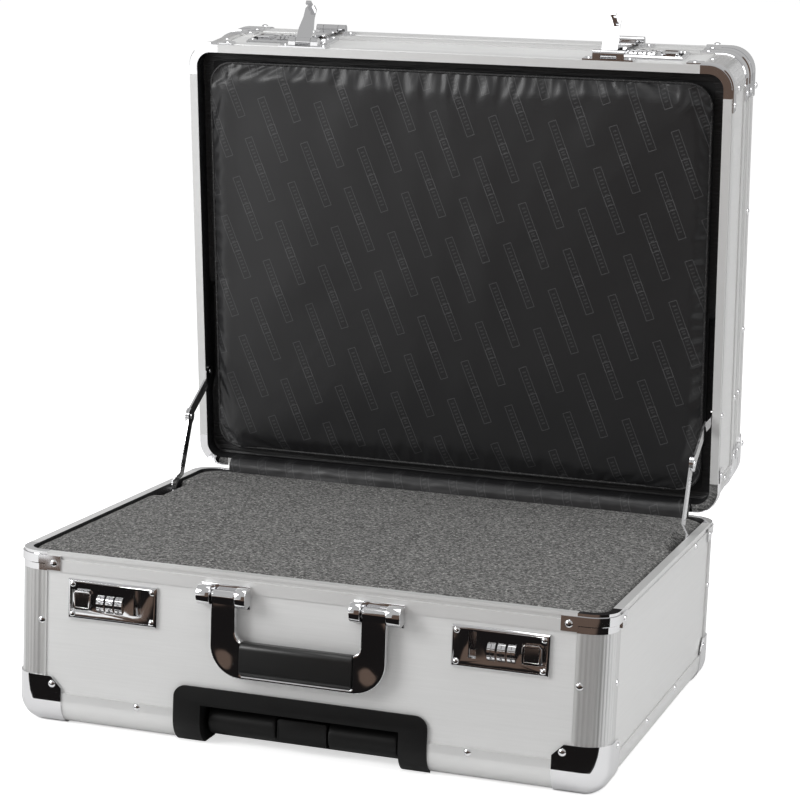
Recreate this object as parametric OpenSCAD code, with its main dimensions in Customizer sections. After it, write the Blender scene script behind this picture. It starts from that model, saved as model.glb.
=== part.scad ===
// Laptop hard case with aluminium edges, shown standing open.
// A deep base shell holds a foam block, and a lid frame with its own cover makes a
// second, flat compartment for a laptop. Everything is in millimetres. The origin is
// the centre of the underside, X runs to the right, Y to the back and Z up.
// Lid and cover are drawn in their closed place and turned about their hinge pins.

/* [Case] */
// Width over the aluminium edges
case_w = 480; // [440:2:540]
// Depth over the aluminium edges, front to back
case_d = 388; // [364:2:440]
// Height of the base shell up to its parting line
base_h = 140; // [136:1:180]
// Height of the lid frame between its two parting lines
lid_h = 73; // [72:1:96]
// Height of the laptop cover above its parting line
cover_h = 44; // [44:1:70]
// Gap left at each parting line
seam = 0.8; // [0.5:0.1:1.2]
// Angle at which the lid stands open
lid_open = 82; // [70:1:84]

/* [Walls and edges] */
// Thickness of the panels
panel_t = 4.5; // [3.5:0.1:5.5]
// Thickness of the aluminium skin that grips a panel
skin_t = 1.2; // [1:0.1:1.6]
// Radius of the rounded edges
edge_r = 20; // [16:1:24]
// How far an edge profile reaches along each wall
edge_leg = 27; // [26:0.5:32]
// Height of a rim profile beside the parting line
rim_h = 15; // [14:0.5:18]
// Height of the solid block at the rim's mouth
rim_block = 6.2; // [6:0.1:7]
// Height of the plain ridge at the rim's mouth
ridge_h = 2.5; // [2:0.1:3]
// Height of the groove under the ridge
groove_h = 3; // [2:0.1:3.4]
// Depth of the groove under the ridge
groove_d = 1; // [0.4:0.1:1.4]

/* [Corner fittings] */
// Thickness of the pressed steel corners
corner_t = 1.2; // [0.8:0.1:1.6]
// Reach of a ball corner along the edges
ball_reach = 41; // [38:1:46]
// Height of the ball corners on the base
ball_base_h = 40; // [36:1:46]
// Height of the ball corners on the cover
ball_cover_h = 31; // [28:1:34]
// Bevel at the free end of a ball corner
ball_bevel = 9; // [5:1:11]
// Length of the tab that a rim corner lays on the rim
cap_tab = 12; // [9:0.5:15]
// Radius of the rivet heads
rivet_r = 3; // [2.2:0.1:3.4]
// Height of the rivet heads
rivet_h = 1.4; // [1:0.1:1.8]

/* [Lid stays] */
// Distance of the stay pivots from the parting line
stay_inset = 8; // [7.5:0.1:9]
// Distance of the stay pivots in front of the rear face
stay_y = 87; // [84:1:92]
// Pivot distance of the lower link
stay_low = 70; // [69:0.5:74]
// Pivot distance of the upper link
stay_up = 64.5; // [63:0.5:67]
// Thickness of a link
stay_t = 1.6; // [1.2:0.1:2]
// Width of a link
stay_w = 10; // [8:0.5:11]
// Radius of the stay rivets
stay_pin_r = 1.5; // [1.2:0.1:1.8]

/* [Hinges] */
// Distance of the hinge pins behind the rear face
pin_back = 1; // [0.8:0.1:1.4]
// Height of the hinge pins above the lower shell
pin_up = 2; // [1.8:0.1:2.4]
// Radius of the hinge knuckles
knuckle_r = 2.5; // [2.2:0.1:2.6]
// Radius of the hinge pins
hinge_pin_r = 1.2; // [1:0.1:1.3]
// Length of each hinge
hinge_len = 60; // [40:1:80]
// Distance of the hinges from the middle
hinge_x = 125; // [110:1:150]
// Height of the hinge leaves
leaf_h = 12; // [10:1:12]
// Thickness of the hinge leaves
leaf_t = 1.3; // [1:0.1:1.6]

/* [Locks] */
// Distance of each lock's slot from the middle
lock_x = 135; // [131:1:150]
// Length of a lock plate
lock_w = 75.2; // [74.6:0.2:78]
// Height of a lock plate
lock_h = 32; // [31.6:0.2:36]
// How far a lock plate stands off its panel
lock_t = 3.3; // [3:0.1:3.6]
// Depth of the lock housing behind the panel face
lock_depth = 11.2; // [11:0.1:13]
// Width of the slot for the hasp's tongue
slot_w = 6; // [5.6:0.1:6.4]
// Radius of a number dial
dial_r = 8; // [7.6:0.1:8.2]
// Width of a number dial
dial_w = 6; // [5.6:0.1:6.4]
// Distance between number dials
dial_pitch = 7.75; // [7.6:0.05:8]
// Radius of the dials' shaft
dial_pin_r = 1.6; // [1.2:0.1:2]
// Side of the square release button
button_w = 15; // [14:0.1:15.2]
// Travel of the release button
button_travel = 3; // [2.6:0.1:3]

/* [Hasps] */
// Distance from a hasp's pivot to the top of its lock plate
hasp_drop = 26.8; // [26:0.1:28]
// Height of the hasp pivots above the parting line
hasp_up = 8; // [7.5:0.1:9]
// Distance of the hasp pivots in front of the front face
hasp_out = 5; // [4.8:0.1:6]
// Length of a hasp from its pivot
hasp_len = 35; // [34.5:0.1:36]
// Width of a hasp
hasp_w = 14; // [11:0.5:16]
// Thickness of a hasp
hasp_t = 1.8; // [1.4:0.1:2]
// Radius of the hasp pins
hasp_pin_r = 1.5; // [1.2:0.1:1.7]
// Radius of the hasp knuckles
hasp_knuckle_r = 3.4; // [3:0.1:3.6]
// Angle at which the lid's hasps stand flipped open
hasp_open = 131; // [100:1:134]

/* [Carrying handle] */
// Width over the two arms of the handle
handle_w = 141; // [130:1:160]
// Width of each arm
arm_w = 20; // [16:1:22]
// Thickness of the bow
bow_t = 7; // [6:0.5:8]
// Height of the handle's pivot
handle_z = 123; // [118:1:124]
// Distance of the pivot in front of the panel
handle_out = 8; // [8:0.1:9]
// Drop from the pivot to the bottom of the bow
handle_drop = 63; // [56:1:68]
// Radius of the bow's lower corners
bow_r = 25; // [20:1:30]
// Length of the soft grip
grip_len = 90; // [80:1:96]
// Height of the soft grip
grip_h = 26; // [24:1:28]
// Thickness of the soft grip
grip_t = 12.5; // [11:0.5:13]
// Radius of the handle's pins
handle_pin_r = 2; // [1.6:0.1:2.4]

/* [Trolley] */
// Width of the black bezel
bezel_w = 206; // [200:2:216]
// Height of the black bezel
bezel_h = 47; // [44:1:52]
// How far the bezel stands off the front
bezel_t = 1.6; // [1.2:0.1:2]
// Width of the grip's recess
recess_w = 161; // [158:1:166]
// Height of the grip's recess
recess_h = 32.5; // [32.5:0.5:36]
// Depth of the grip's recess
recess_d = 33; // [32:1:38]
// Width of the pull-out grip
pull_w = 154; // [140:1:155]
// Height of the pull-out grip
pull_h = 25; // [24:0.5:25.5]
// Depth of the pull-out grip
pull_d = 21; // [18:0.5:22]
// Distance of the telescopic tubes from the middle
tube_x = 62; // [40:1:62]
// Height of the middle of the tubes
tube_z = 18; // [17.5:0.5:18.5]
// Width of the outer tubes
tube_w = 22; // [20:0.5:24]
// Height of the outer tubes
tube_h = 16; // [15:0.5:17]
// Wall of the tubes
tube_wall = 1.2; // [1:0.1:1.3]
// Running gap between one tube and the next
tube_gap = 0.3; // [0.2:0.05:0.4]
// Travel of each of the two telescopic stages
tube_travel = 250; // [180:5:250]
// Width of the press button in the grip
press_w = 42; // [36:1:50]
// Height of the press button in the grip
press_h = 20.5; // [17:0.5:21]
// Travel of the press button
press_travel = 3; // [2:0.5:4]

/* [Wheels] */
// Radius of the wheels
wheel_r = 24.5; // [22:0.5:25]
// Width of the wheels
wheel_w = 22; // [18:1:24]
// Distance of the wheels from the middle
wheel_x = 158; // [150:1:162]
// Height of the axles
wheel_z = 26; // [25.5:0.5:28]
// Distance of the axles in front of the rear face
wheel_y = 16; // [15:1:20]
// Radius of the axles
axle_r = 3; // [2.5:0.5:4]

/* [Foam and lining] */
// Distance of the foam's top below the parting line
foam_low = 4; // [3:0.5:8]
// Gap between the foam and the rim
foam_gap = 2.5; // [1:0.5:4]
// Distance of the divider board behind the lid's front rim
divider_in = 1; // [0.4:0.2:6]
// Thickness of the divider board
divider_t = 4; // [3:0.5:5]
// Height of the padded lining at its crown
pad_h = 13; // [9:0.5:14]
// Gap between the padded lining and the walls
pad_gap = 9.5; // [9:0.5:14]

/* [Hidden] */
$fn = 48;

aluminium = [0.82, 0.83, 0.84];
sheet_silver = [0.74, 0.75, 0.76];
chrome = [0.9, 0.9, 0.92];
black_plastic = [0.09, 0.09, 0.1];
foam_grey = [0.36, 0.36, 0.35];
lining_black = [0.13, 0.13, 0.14];

// Small clearances, each used wherever that kind of fit occurs
play = 0.05;
run = 0.3;
eps = 0.01;

half_w = case_w / 2;
half_d = case_d / 2;
// A rim grips the panel between two skins
rim_w = 2 * skin_t + panel_t + 2 * play;
panel_in = skin_t + play;
// Panels reach this far into the slots of the edge profiles
slot_start = edge_r + 0.2;
rim_slot = rim_block + 0.2;

// Parting lines and outer heights in the closed case
lid_z = base_h + seam;
lid_top = base_h + lid_h;
cover_z = lid_top + seam;
cover_top = lid_top + cover_h;

hinge_y = half_d + pin_back;
lid_pin_z = base_h + pin_up;
cover_pin_z = lid_top + pin_up;

// The face of the front panel
panel_y = -half_d + panel_in;

// Height of a lock plate's lower edge under its hasp's pivot
lock_below = hasp_drop + lock_h;
base_lock_z = lid_z - seam + hasp_up - lock_below;
lid_lock_z = lid_top + hasp_up - lock_below;
hasp_y = -half_d - hasp_out;

// Turns closed-case shapes to where they stand with the lid open
module with_lid() {
  translate([0, hinge_y, lid_pin_z]) rotate([-lid_open, 0, 0])
    translate([0, -hinge_y, -lid_pin_z]) children();
}

// Draws its children on both sides, the left one mirrored
module both() {
  for (side = [0, 1]) mirror([side, 0, 0]) children();
}

// One side only: 1 is the right side and -1 the left
module on_side(side) {
  if (side > 0) children();
  else mirror([1, 0, 0]) children();
}

module rounded_plate(w, d, r) {
  square([w, d - 2 * r], center = true);
  square([w - 2 * r, d], center = true);
  for (sx = [-1, 1], sy = [-1, 1])
    translate([sx * (w / 2 - r), sy * (d / 2 - r)]) circle(r);
}

// Domed rivet head standing on the XY plane
module rivet_head(r = rivet_r, h = rivet_h) {
  ball = (r * r + h * h) / (2 * h);
  intersection() {
    translate([0, 0, h - ball]) sphere(ball);
    cylinder(r = r + 1, h = h + 1);
  }
}

// Places a rivet head on the right face
module side_rivet(y, z) translate([half_w, y, z]) rotate([0, 90, 0]) rivet_head();

// Front and rear are alike, so a face rivet is drawn at both and on both sides
module four_rivets(x, y, z, out = 0) {
  both() for (turn = [0, 180]) rotate(turn) {
    translate([x, -half_d - out, z]) rotate([90, 0, 0]) rivet_head();
    translate([-half_w - out, y, z]) rotate([0, -90, 0]) rivet_head();
  }
}

// Corner of a plate whose two sides lie inset from the faces
module inset_corner(inset, reach) {
  translate([edge_r, edge_r]) circle(edge_r - inset);
  translate([edge_r, inset]) square(reach - inset);
  translate([inset, edge_r]) square(reach - inset);
}

// Section of the edge profile: u runs inwards from one face and v from the other
module edge_section() {
  difference() {
    intersection() {
      inset_corner(0, edge_leg);
      square(edge_leg);
    }
    inset_corner(rim_w, 2 * edge_leg);
    translate([edge_r, skin_t]) square([edge_leg, rim_w - 2 * skin_t]);
    translate([skin_t, edge_r]) square([rim_w - 2 * skin_t, edge_leg]);
  }
}

// Section of a rim: u runs inwards from the outer face and t away from the mouth
module rim_section() {
  polygon([
    [0, 0], [rim_w, 0], [rim_w, rim_h], [rim_w - skin_t, rim_h],
    [rim_w - skin_t, rim_block], [skin_t, rim_block], [skin_t, rim_h], [0, rim_h],
    [0, ridge_h + groove_h], [groove_d, ridge_h + groove_h - 0.4],
    [groove_d, ridge_h], [0, ridge_h]
  ]);
}

// The same section with the raised band of the steel rim corners
module rim_corner_section() {
  polygon([
    [0, 0], [rim_w, 0], [rim_w, rim_h], [rim_w - skin_t, rim_h],
    [rim_w - skin_t, rim_block], [skin_t, rim_block], [skin_t, rim_h], [0, rim_h],
    [0, rim_h - 5], [-corner_t, rim_h - 5.8], [-corner_t, ridge_h],
    [0, ridge_h - 0.4]
  ]);
}

// Four straight bars of a section along the walls, ending where the corners start
module wall_bars() {
  for (turn = [0, 180]) rotate(turn) {
    translate([0, -half_d, 0]) rotate([90, 0, 90])
      linear_extrude(case_w - 2 * edge_leg, center = true) children();
    translate([-half_w, 0, 0]) rotate([90, 0, 0])
      linear_extrude(case_d - 2 * edge_leg, center = true) children();
  }
}

// A section led round one corner of the plan, at the left front
module corner_bend() {
  straight = edge_leg - edge_r;
  translate([-half_w + edge_r, -half_d + edge_r, 0]) {
    rotate(180) rotate_extrude(angle = 90)
      translate([edge_r, 0]) mirror([1, 0]) children();
    translate([straight / 2, -edge_r, 0]) rotate([90, 0, 90])
      linear_extrude(straight, center = true) children();
    translate([-edge_r, straight / 2, 0]) rotate([90, 0, 0])
      linear_extrude(straight, center = true) children();
  }
}

module four_corners() {
  both() for (side = [0, 1]) mirror([0, side, 0]) children();
}

// A rim starts at height z and runs up or down from its mouth
module rim_bars(z, up = 1) {
  translate([0, 0, z]) mirror([0, 0, up > 0 ? 0 : 1]) wall_bars() rim_section();
}

// Steel corner of a rim, with the two tabs that are riveted to the rim bars
module rim_corners(z, up = 1) {
  tab_low = ridge_h;
  translate([0, 0, z]) mirror([0, 0, up > 0 ? 0 : 1]) four_corners() {
    corner_bend() rim_corner_section();
    translate([-half_w + edge_leg, -half_d - corner_t, tab_low])
      cube([cap_tab, corner_t - play, rim_h - tab_low - 1]);
    translate([-half_w - corner_t, -half_d + edge_leg, tab_low])
      cube([corner_t - play, cap_tab, rim_h - tab_low - 1]);
    // The tabs and the bend meet in a short step
    translate([-half_w + edge_leg - 1, -half_d - corner_t, tab_low])
      cube([1 + eps, corner_t, rim_h - tab_low - 1]);
    translate([-half_w - corner_t, -half_d + edge_leg - 1, tab_low])
      cube([corner_t, 1 + eps, rim_h - tab_low - 1]);
  }
}

rim_rivet_t = (ridge_h + rim_h - 1) / 2;
module rim_corner_rivets(z, up = 1) {
  t = z + up * rim_rivet_t;
  four_rivets(half_w - edge_leg - cap_tab / 2, half_d - edge_leg - cap_tab / 2, t, corner_t);
}

// Rounded corner of a box whose faces lie at +r; it reaches back to -lx, -ly, -lz
module round_corner(r, lx, ly, lz) {
  sphere(r);
  translate([-lx, 0, 0]) rotate([0, 90, 0]) cylinder(r = r, h = lx);
  translate([0, -ly, 0]) rotate([-90, 0, 0]) cylinder(r = r, h = ly);
  translate([0, 0, -lz]) cylinder(r = r, h = lz);
  translate([-lx, -ly, -lz]) cube([lx + r, ly, lz]);
  translate([-lx, -ly, -lz]) cube([lx, ly + r, lz]);
  translate([-lx, -ly, -lz]) cube([lx, ly, lz + r]);
}

// Pressed steel ball corner, drawn for the left front top corner of a closed box
// whose top is at z = 0; its foot is cut level with the top plane
module ball_corner(height) {
  back = ball_reach - edge_r;
  down = height - edge_r;
  intersection() {
    translate([-half_w + edge_r, -half_d + edge_r, -edge_r]) mirror([1, 0, 0])
      mirror([0, 1, 0]) difference() {
        round_corner(edge_r + corner_t, back, back, down);
        round_corner(edge_r + play, back + 1, back + 1, down + 1);
      }
    // The free ends are bevelled, and the level foot stays flush with the face
    translate([-half_w - corner_t, -half_d + ball_reach, 0]) rotate([90, 0, 0])
      linear_extrude(case_d) ball_outline(height);
    translate([-half_w + ball_reach, -half_d - corner_t, 0]) rotate([90, 0, -90])
      mirror([1, 0, 0]) linear_extrude(case_d) ball_outline(height);
  }
}

module ball_outline(height) {
  reach = ball_reach + corner_t;
  polygon([[0, 0], [reach, 0], [reach, -height + ball_bevel],
    [reach - ball_bevel, -height], [0, -height]]);
}

// Panels gripped between profiles: four walls between two heights
module wall_panels(z0, z1) {
  long = case_w - 2 * slot_start;
  deep = case_d - 2 * slot_start;
  for (turn = [0, 180]) rotate(turn) {
    translate([-long / 2, -half_d + panel_in, z0]) cube([long, panel_t, z1 - z0]);
    translate([-half_w + panel_in, -deep / 2, z0]) cube([panel_t, deep, z1 - z0]);
  }
}

module corner_posts(z0, z1) {
  four_corners() translate([-half_w, -half_d, z0]) linear_extrude(z1 - z0) edge_section();
}

// Edge profiles lying along the four edges of the floor or, upside down, the top.
// Their ends stop just short of the corner posts, under the ball corners
module edge_rails() {
  ends = 2 * (edge_leg + play);
  for (turn = [0, 180]) rotate(turn) {
    translate([0, -half_d, 0]) rotate([90, 0, 90])
      linear_extrude(case_w - ends, center = true) edge_section();
    translate([-half_w, 0, 0]) rotate([90, 0, 0])
      linear_extrude(case_d - ends, center = true) edge_section();
  }
}

// Room in the rims for the knuckles of one pair of hinges
module knuckle_room(z) {
  both() translate([hinge_x, hinge_y, z]) rotate([0, 90, 0])
    cylinder(r = knuckle_r + run, h = hinge_len + 2 * run, center = true);
}

// The volume that a lock takes up behind the panel
module lock_room(z) {
  both() translate([lock_x - lock_in + 6.3 - run, panel_y - 1, z + 2 - run])
    cube([lock_w - 8.7 + 2 * run, lock_depth + 1.5, lock_h - 3.5 + 2 * run]);
}

// Lock plate measures, from the slot's centre
lock_in = 16.3;
dial_first = 15;
dial_z = 14.5;
dial_back = 5.2 - lock_t;
button_x = 38.5;
button_z = 8.3;
bar_z = 24.1;
bar_h = 3.8;
bar_y = 0.2;
bar_t = 2.4;
slot_top = 28.2;

// One combination lock: plate, housing, slot, dial bays and the release's channel
module lock_case() {
  bay_r = dial_r + 0.4;
  difference() {
    union() {
      lock_plate();
      translate([-lock_in + 6.3, -eps, 2]) cube([lock_w - 8.7, lock_depth + eps, lock_h - 3.5]);
    }
    // Shallow field inside the raised border
    translate([-lock_in + 2.2, -lock_t - 1, 2.2]) cube([lock_w - 4.4, 1.5, lock_h - 4.4]);
    // Slot for the tongue
    translate([-slot_w / 2, -lock_t - 1, 7.8]) cube([slot_w, lock_t + 10, slot_top - 7.8]);
    // Round bays for the dials
    for (i = [0:2])
      translate([dial_first + i * dial_pitch - dial_w / 2 - 0.2, dial_back, dial_z])
        rotate([0, 90, 0]) cylinder(r = bay_r, h = dial_w + 0.4);
    // Window of the release button, with room for its travel
    translate([button_x - run, -lock_t - 1, button_z - run])
      cube([button_w + button_travel + 2 * run, lock_t + 1 + eps, button_w + 2 * run]);
    // Channel of the slide and its catch
    translate([button_x - run, 0, button_z - run])
      cube([button_w + button_travel + 2 * run, bar_t + 0.5, bar_z + bar_h + 0.2 - button_z + run]);
    translate([-0.2, 0, bar_z - 0.2]) cube([button_x, bar_t + 0.5, bar_h + 0.4]);
    translate([-0.2, 0, bar_z - 2]) cube([button_travel + 4, bar_t + 0.5, bar_h]);
  }
  // Shaft of the dials
  translate([dial_first - dial_w / 2 - 1, dial_back, dial_z]) rotate([0, 90, 0])
    cylinder(r = dial_pin_r, h = 2 * dial_pitch + dial_w + 2);
  for (x = [-lock_in + 4, lock_w - lock_in - 4], z = [4, lock_h - 4])
    translate([x, -lock_t + 0.5 - eps, z]) rotate([90, 0, 0]) rivet_head(2.6, 1.6);
}

// Lock plate with bevelled edges, as two crossed sections
module lock_plate() {
  bevel = 1.2;
  intersection() {
    translate([-lock_in, 0, 0]) linear_extrude(lock_h)
      polygon([[0, 0], [0, bevel - lock_t], [bevel, -lock_t], [lock_w - bevel, -lock_t],
        [lock_w, bevel - lock_t], [lock_w, 0]]);
    translate([-lock_in, 0, 0]) rotate([90, 0, 90]) linear_extrude(lock_w)
      polygon([[0, 0], [bevel - lock_t, 0], [-lock_t, bevel], [-lock_t, lock_h - bevel],
        [bevel - lock_t, lock_h], [0, lock_h]]);
  }
}

// Release button with the slide and catch behind the plate
module lock_button() {
  difference() {
    translate([button_x, -lock_t - 2, button_z]) button_head();
    translate([button_x + 2, -lock_t - 3, button_z + 2]) cube([button_w - 4, 1.5, button_w - 4]);
  }
  translate([button_x, bar_y, button_z]) cube([button_w, bar_t, bar_z + bar_h - button_z]);
  translate([0.4, bar_y, bar_z]) cube([button_x, bar_t, bar_h]);
  translate([0.4, bar_y, bar_z - 1.8]) cube([2.8, bar_t, bar_h]);
}

module button_head() {
  cut = 2.2;
  rotate([90, 0, 0]) mirror([0, 0, 1]) linear_extrude(lock_t + 2 + bar_y + eps)
    polygon([[cut, 0], [button_w - cut, 0], [button_w, cut], [button_w, button_w - cut],
      [button_w - cut, button_w], [cut, button_w], [0, button_w - cut], [0, cut]]);
}

// Number dial with ten finger grooves
module lock_dial(i) {
  translate([dial_first + i * dial_pitch, dial_back, dial_z]) rotate([0, 90, 0])
    linear_extrude(dial_w, center = true) difference() {
      circle(dial_r);
      circle(dial_pin_r + 0.06);
      for (k = [0:9]) rotate(36 * k) translate([dial_r + 0.15, 0]) circle(0.6, $fn = 16);
    }
}

module at_lock(side, z) {
  on_side(side) translate([lock_x, panel_y, z]) children();
}

// Hasp hanging from its pivot as if locked
module hasp_arm() {
  plate_y = 0.6;
  difference() {
    union() {
      rotate([0, 90, 0]) cylinder(r = hasp_knuckle_r, h = hasp_w - 2 * run, center = true);
      translate([0, plate_y + hasp_t, 0]) rotate([90, 0, 0]) linear_extrude(hasp_t) hasp_outline();
      translate([-slot_w / 2 + 0.8, plate_y, -hasp_len + 1])
        cube([slot_w - 1.6, panel_in + hasp_out + 5.2 - plate_y, 3]);
    }
    rotate([0, 90, 0]) cylinder(r = hasp_pin_r + 0.05, h = hasp_w + 2, center = true);
    // Notch that the catch drops into
    translate([0, panel_in + hasp_out - 0.3, -hasp_len - 1])
      cube([slot_w, bar_t + 1, 8]);
  }
}

module hasp_outline() {
  polygon([[-hasp_w / 2 + run, 0], [hasp_w / 2 - run, 0], [hasp_w / 2 - run, -12],
    [hasp_w / 2 - 2, -hasp_len + 12], [5, -hasp_len + 3], [3, -hasp_len],
    [-3, -hasp_len], [-5, -hasp_len + 3], [-hasp_w / 2 + 2, -hasp_len + 12],
    [-hasp_w / 2 + run, -12]]);
}

// Fixed half of a hasp: a plate riveted to the rim by its two ears, two lugs and the pin
module hasp_base(mouth_z) {
  lug = 6.5;
  ear = 8;
  full = hasp_w + 2 * lug;
  z0 = mouth_z + 1;
  translate([-full / 2 - ear, -half_d - 1.4, z0]) cube([full + 2 * ear, 1.4, rim_h - 2]);
  for (s = [-1, 1]) translate([s * (full + ear) / 2, eps - half_d - 1.4, z0 + rim_h / 2 - 1])
    rotate([90, 0, 0]) rivet_head(2.2, 1.3);
  for (s = [-1, 1]) translate([s * (hasp_w + lug) / 2, 0, mouth_z - seam + hasp_up]) {
    translate([0, hasp_y, 0]) rotate([0, 90, 0])
      cylinder(r = hasp_knuckle_r, h = lug, center = true);
    translate([-lug / 2, hasp_y, -hasp_knuckle_r])
      cube([lug, -half_d - hasp_y - 1, 2 * hasp_knuckle_r]);
  }
  translate([0, hasp_y, mouth_z - seam + hasp_up]) rotate([0, 90, 0])
    cylinder(r = hasp_pin_r, h = full - 1, center = true);
}

// Stay geometry in the YZ plane: each point is [y, z]
function turned(p, c, a) = let(d = p - c) [
  c[0] + d[0] * cos(a) - d[1] * sin(a), c[1] + d[0] * sin(a) + d[1] * cos(a)];
function angle_of(p, q) = atan2(q[1] - p[1], q[0] - p[0]);
// The knee lies on the inner side of the line between the two pivots
function knee(p, q, a, b) = let(d = norm(q - p), s = (a * a - b * b + d * d) / (2 * d),
  t = sqrt(a * a - s * s), u = (q - p) / d) [
  p[0] + s * u[0] - t * u[1], p[1] + s * u[1] + t * u[0]];

stay_at = half_d - stay_y;
lid_stay_low = [stay_at, base_h - stay_inset];
lid_stay_up = turned([stay_at, base_h + stay_inset], [hinge_y, lid_pin_z], -lid_open);
lid_stay_knee = knee(lid_stay_low, lid_stay_up, stay_low, stay_up);
cover_stay_low = [stay_at, lid_top - stay_inset];
cover_stay_up = [stay_at, lid_top + stay_inset];
cover_stay_knee = knee(cover_stay_low, cover_stay_up, stay_low, stay_up);

// Planes of the links, measured inwards from the rim's inner face
foot_in = run;
upper_in = run + 2 * stay_t - 0.2;
lower_in = upper_in + stay_t + run;

// A link lies along +Y from its foot; depth is how far its knee end stands inwards
module stay_link(length, depth) {
  r_foot = stay_w / 2 + 0.5;
  r_knee = stay_w / 2 + 2;
  bend = 9;
  ramp = 8;
  difference() {
    intersection() {
      // Side view of the joggled strip
      linear_extrude(4 * stay_w, center = true)
        polygon([[0, -r_foot], [0, bend], [-depth, bend + ramp], [-depth, length + r_knee],
          [-depth - stay_t, length + r_knee], [-depth - stay_t, bend + ramp],
          [-stay_t, bend], [-stay_t, -r_foot]]);
      // Face view with round ends
      rotate([90, 0, -90]) linear_extrude(2 * depth + 4 * stay_t, center = true)
        mirror([1, 0]) union() {
          circle(r_foot);
          translate([0, -stay_w / 2]) square([length, stay_w]);
          translate([length, 0]) circle(r_knee);
        }
    }
    rotate([0, 90, 0]) cylinder(r = stay_pin_r + 0.05, h = 6 * stay_t, center = true);
  }
}

module place_link(from, to) {
  translate([half_w - rim_w - foot_in, from[0], from[1]])
    rotate([angle_of(from, to), 0, 0]) children();
}

module stay_lower(from, to) {
  place_link(from, to) {
    stay_link(stay_low, lower_in - foot_in);
    // Knee rivet, its head on the inner side
    translate([-lower_in + foot_in - stay_t, stay_low, 0]) rotate([0, -90, 0]) rivet_head();
  }
}

module stay_upper(from, to) {
  place_link(from, to) {
    stay_link(stay_up, upper_in - foot_in);
    translate([-upper_in + foot_in, stay_up, 0]) rotate([0, 90, 0]) rivet_head();
  }
}

// Rivet that carries a stay: a shank from the rim's inner face with a head inside
module stay_rivet(at) {
  translate([half_w - rim_w, at[0], at[1]]) rotate([0, -90, 0]) {
    cylinder(r = stay_pin_r, h = run + stay_t + 0.15);
    translate([0, 0, run + stay_t + 0.15]) rivet_head();
  }
  side_rivet(at[0], at[1]);
}

// Butt hinge seen from behind; the outer knuckles belong to the lower leaf
outer_knuckle = hinge_len / 4;
module hinge_lower(pin_z, mouth_z) {
  both() translate([hinge_x, 0, 0]) {
    translate([-hinge_len / 2, half_d, mouth_z - leaf_h]) cube([hinge_len, leaf_t, leaf_h - 1]);
    for (s = [-1, 1]) translate([s * (hinge_len - outer_knuckle) / 2, 0, 0]) {
      translate([0, hinge_y, pin_z]) rotate([0, 90, 0])
        cylinder(r = knuckle_r, h = outer_knuckle, center = true);
      translate([-outer_knuckle / 2, half_d, mouth_z - 2])
        cube([outer_knuckle, leaf_t, pin_z - mouth_z + 2]);
    }
    translate([0, hinge_y, pin_z]) rotate([0, 90, 0])
      cylinder(r = hinge_pin_r, h = hinge_len - 1, center = true);
  }
}

module hinge_upper(pin_z) {
  width = hinge_len - 2 * outer_knuckle - 2 * run;
  both() translate([hinge_x, 0, 0]) difference() {
    union() {
      translate([-hinge_len / 2, half_d, pin_z + knuckle_r + 0.6]) cube([hinge_len, leaf_t, leaf_h]);
      translate([-width / 2, half_d, pin_z]) cube([width, leaf_t, knuckle_r + 2]);
      translate([0, hinge_y, pin_z]) rotate([0, 90, 0])
        cylinder(r = knuckle_r, h = width, center = true);
    }
    translate([0, hinge_y, pin_z]) rotate([0, 90, 0])
      cylinder(r = hinge_pin_r + 0.05, h = hinge_len, center = true);
  }
}

module base_panels() color(sheet_silver) {
  difference() {
    wall_panels(slot_start, base_h - rim_slot);
    lock_room(base_lock_z);
    trolley_room();
    wheel_room();
  }
  difference() {
    translate([-half_w + slot_start, -half_d + slot_start, panel_in])
      cube([case_w - 2 * slot_start, case_d - 2 * slot_start, panel_t]);
    channel_room();
    trolley_room();
    wheel_room();
  }
}

module base_profiles() color(aluminium) {
  difference() {
    union() {
      rim_bars(base_h, -1);
      edge_rails();
    }
    knuckle_room(lid_pin_z);
    trolley_room();
    wheel_room();
  }
  corner_posts(edge_r, base_h - rim_h - play);
}

module base_corners() color(chrome) {
  rim_corners(base_h, -1);
  mirror([0, 0, 1]) four_corners() ball_corner(ball_base_h);
}

module base_rivets() color(chrome) {
  rim_corner_rivets(base_h, -1);
  // Ball corners
  four_rivets(half_w - ball_reach + 8, half_d - ball_reach + 8, ball_base_h - 6, corner_t);
  // Edge rails and posts
  four_rivets(134.5, 53, edge_leg - 3.4);
  four_rivets(half_w - edge_leg + 4, half_d - edge_leg + 4, 85);
  both() stay_rivet(lid_stay_low);
}

// The recess and its walls, cut out of panels and rails
module trolley_room() {
  translate([-recess_w / 2 - 3 - play, -half_d - 1, -1])
    cube([recess_w + 6 + 2 * play, recess_d + 3, recess_h + 4]);
}

channel_w = 2 * (tube_x + tube_w / 2) + 8;
channel_front = -half_d + recess_d + 2;
channel_len = case_d - recess_d - 48;
channel_h = tube_z * 2;
module channel_room() {
  translate([-channel_w / 2 - play, channel_front - 3, -1])
    cube([channel_w + 2 * play, channel_len + 3 + play, channel_h + 1 + play]);
}

wheel_wall = 2.5;
wheel_side = 1.6;
house_w = wheel_w + 2 * wheel_side + 2 * wheel_wall;
house_front = half_d - wheel_y - wheel_r - 1.6 - wheel_wall;
house_top = wheel_z + wheel_r + 1.6 + wheel_wall;
module wheel_room() {
  both() translate([wheel_x - house_w / 2 - play, house_front - play, -1])
    cube([house_w + 2 * play, case_d, house_top + 1 + play]);
}

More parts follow.
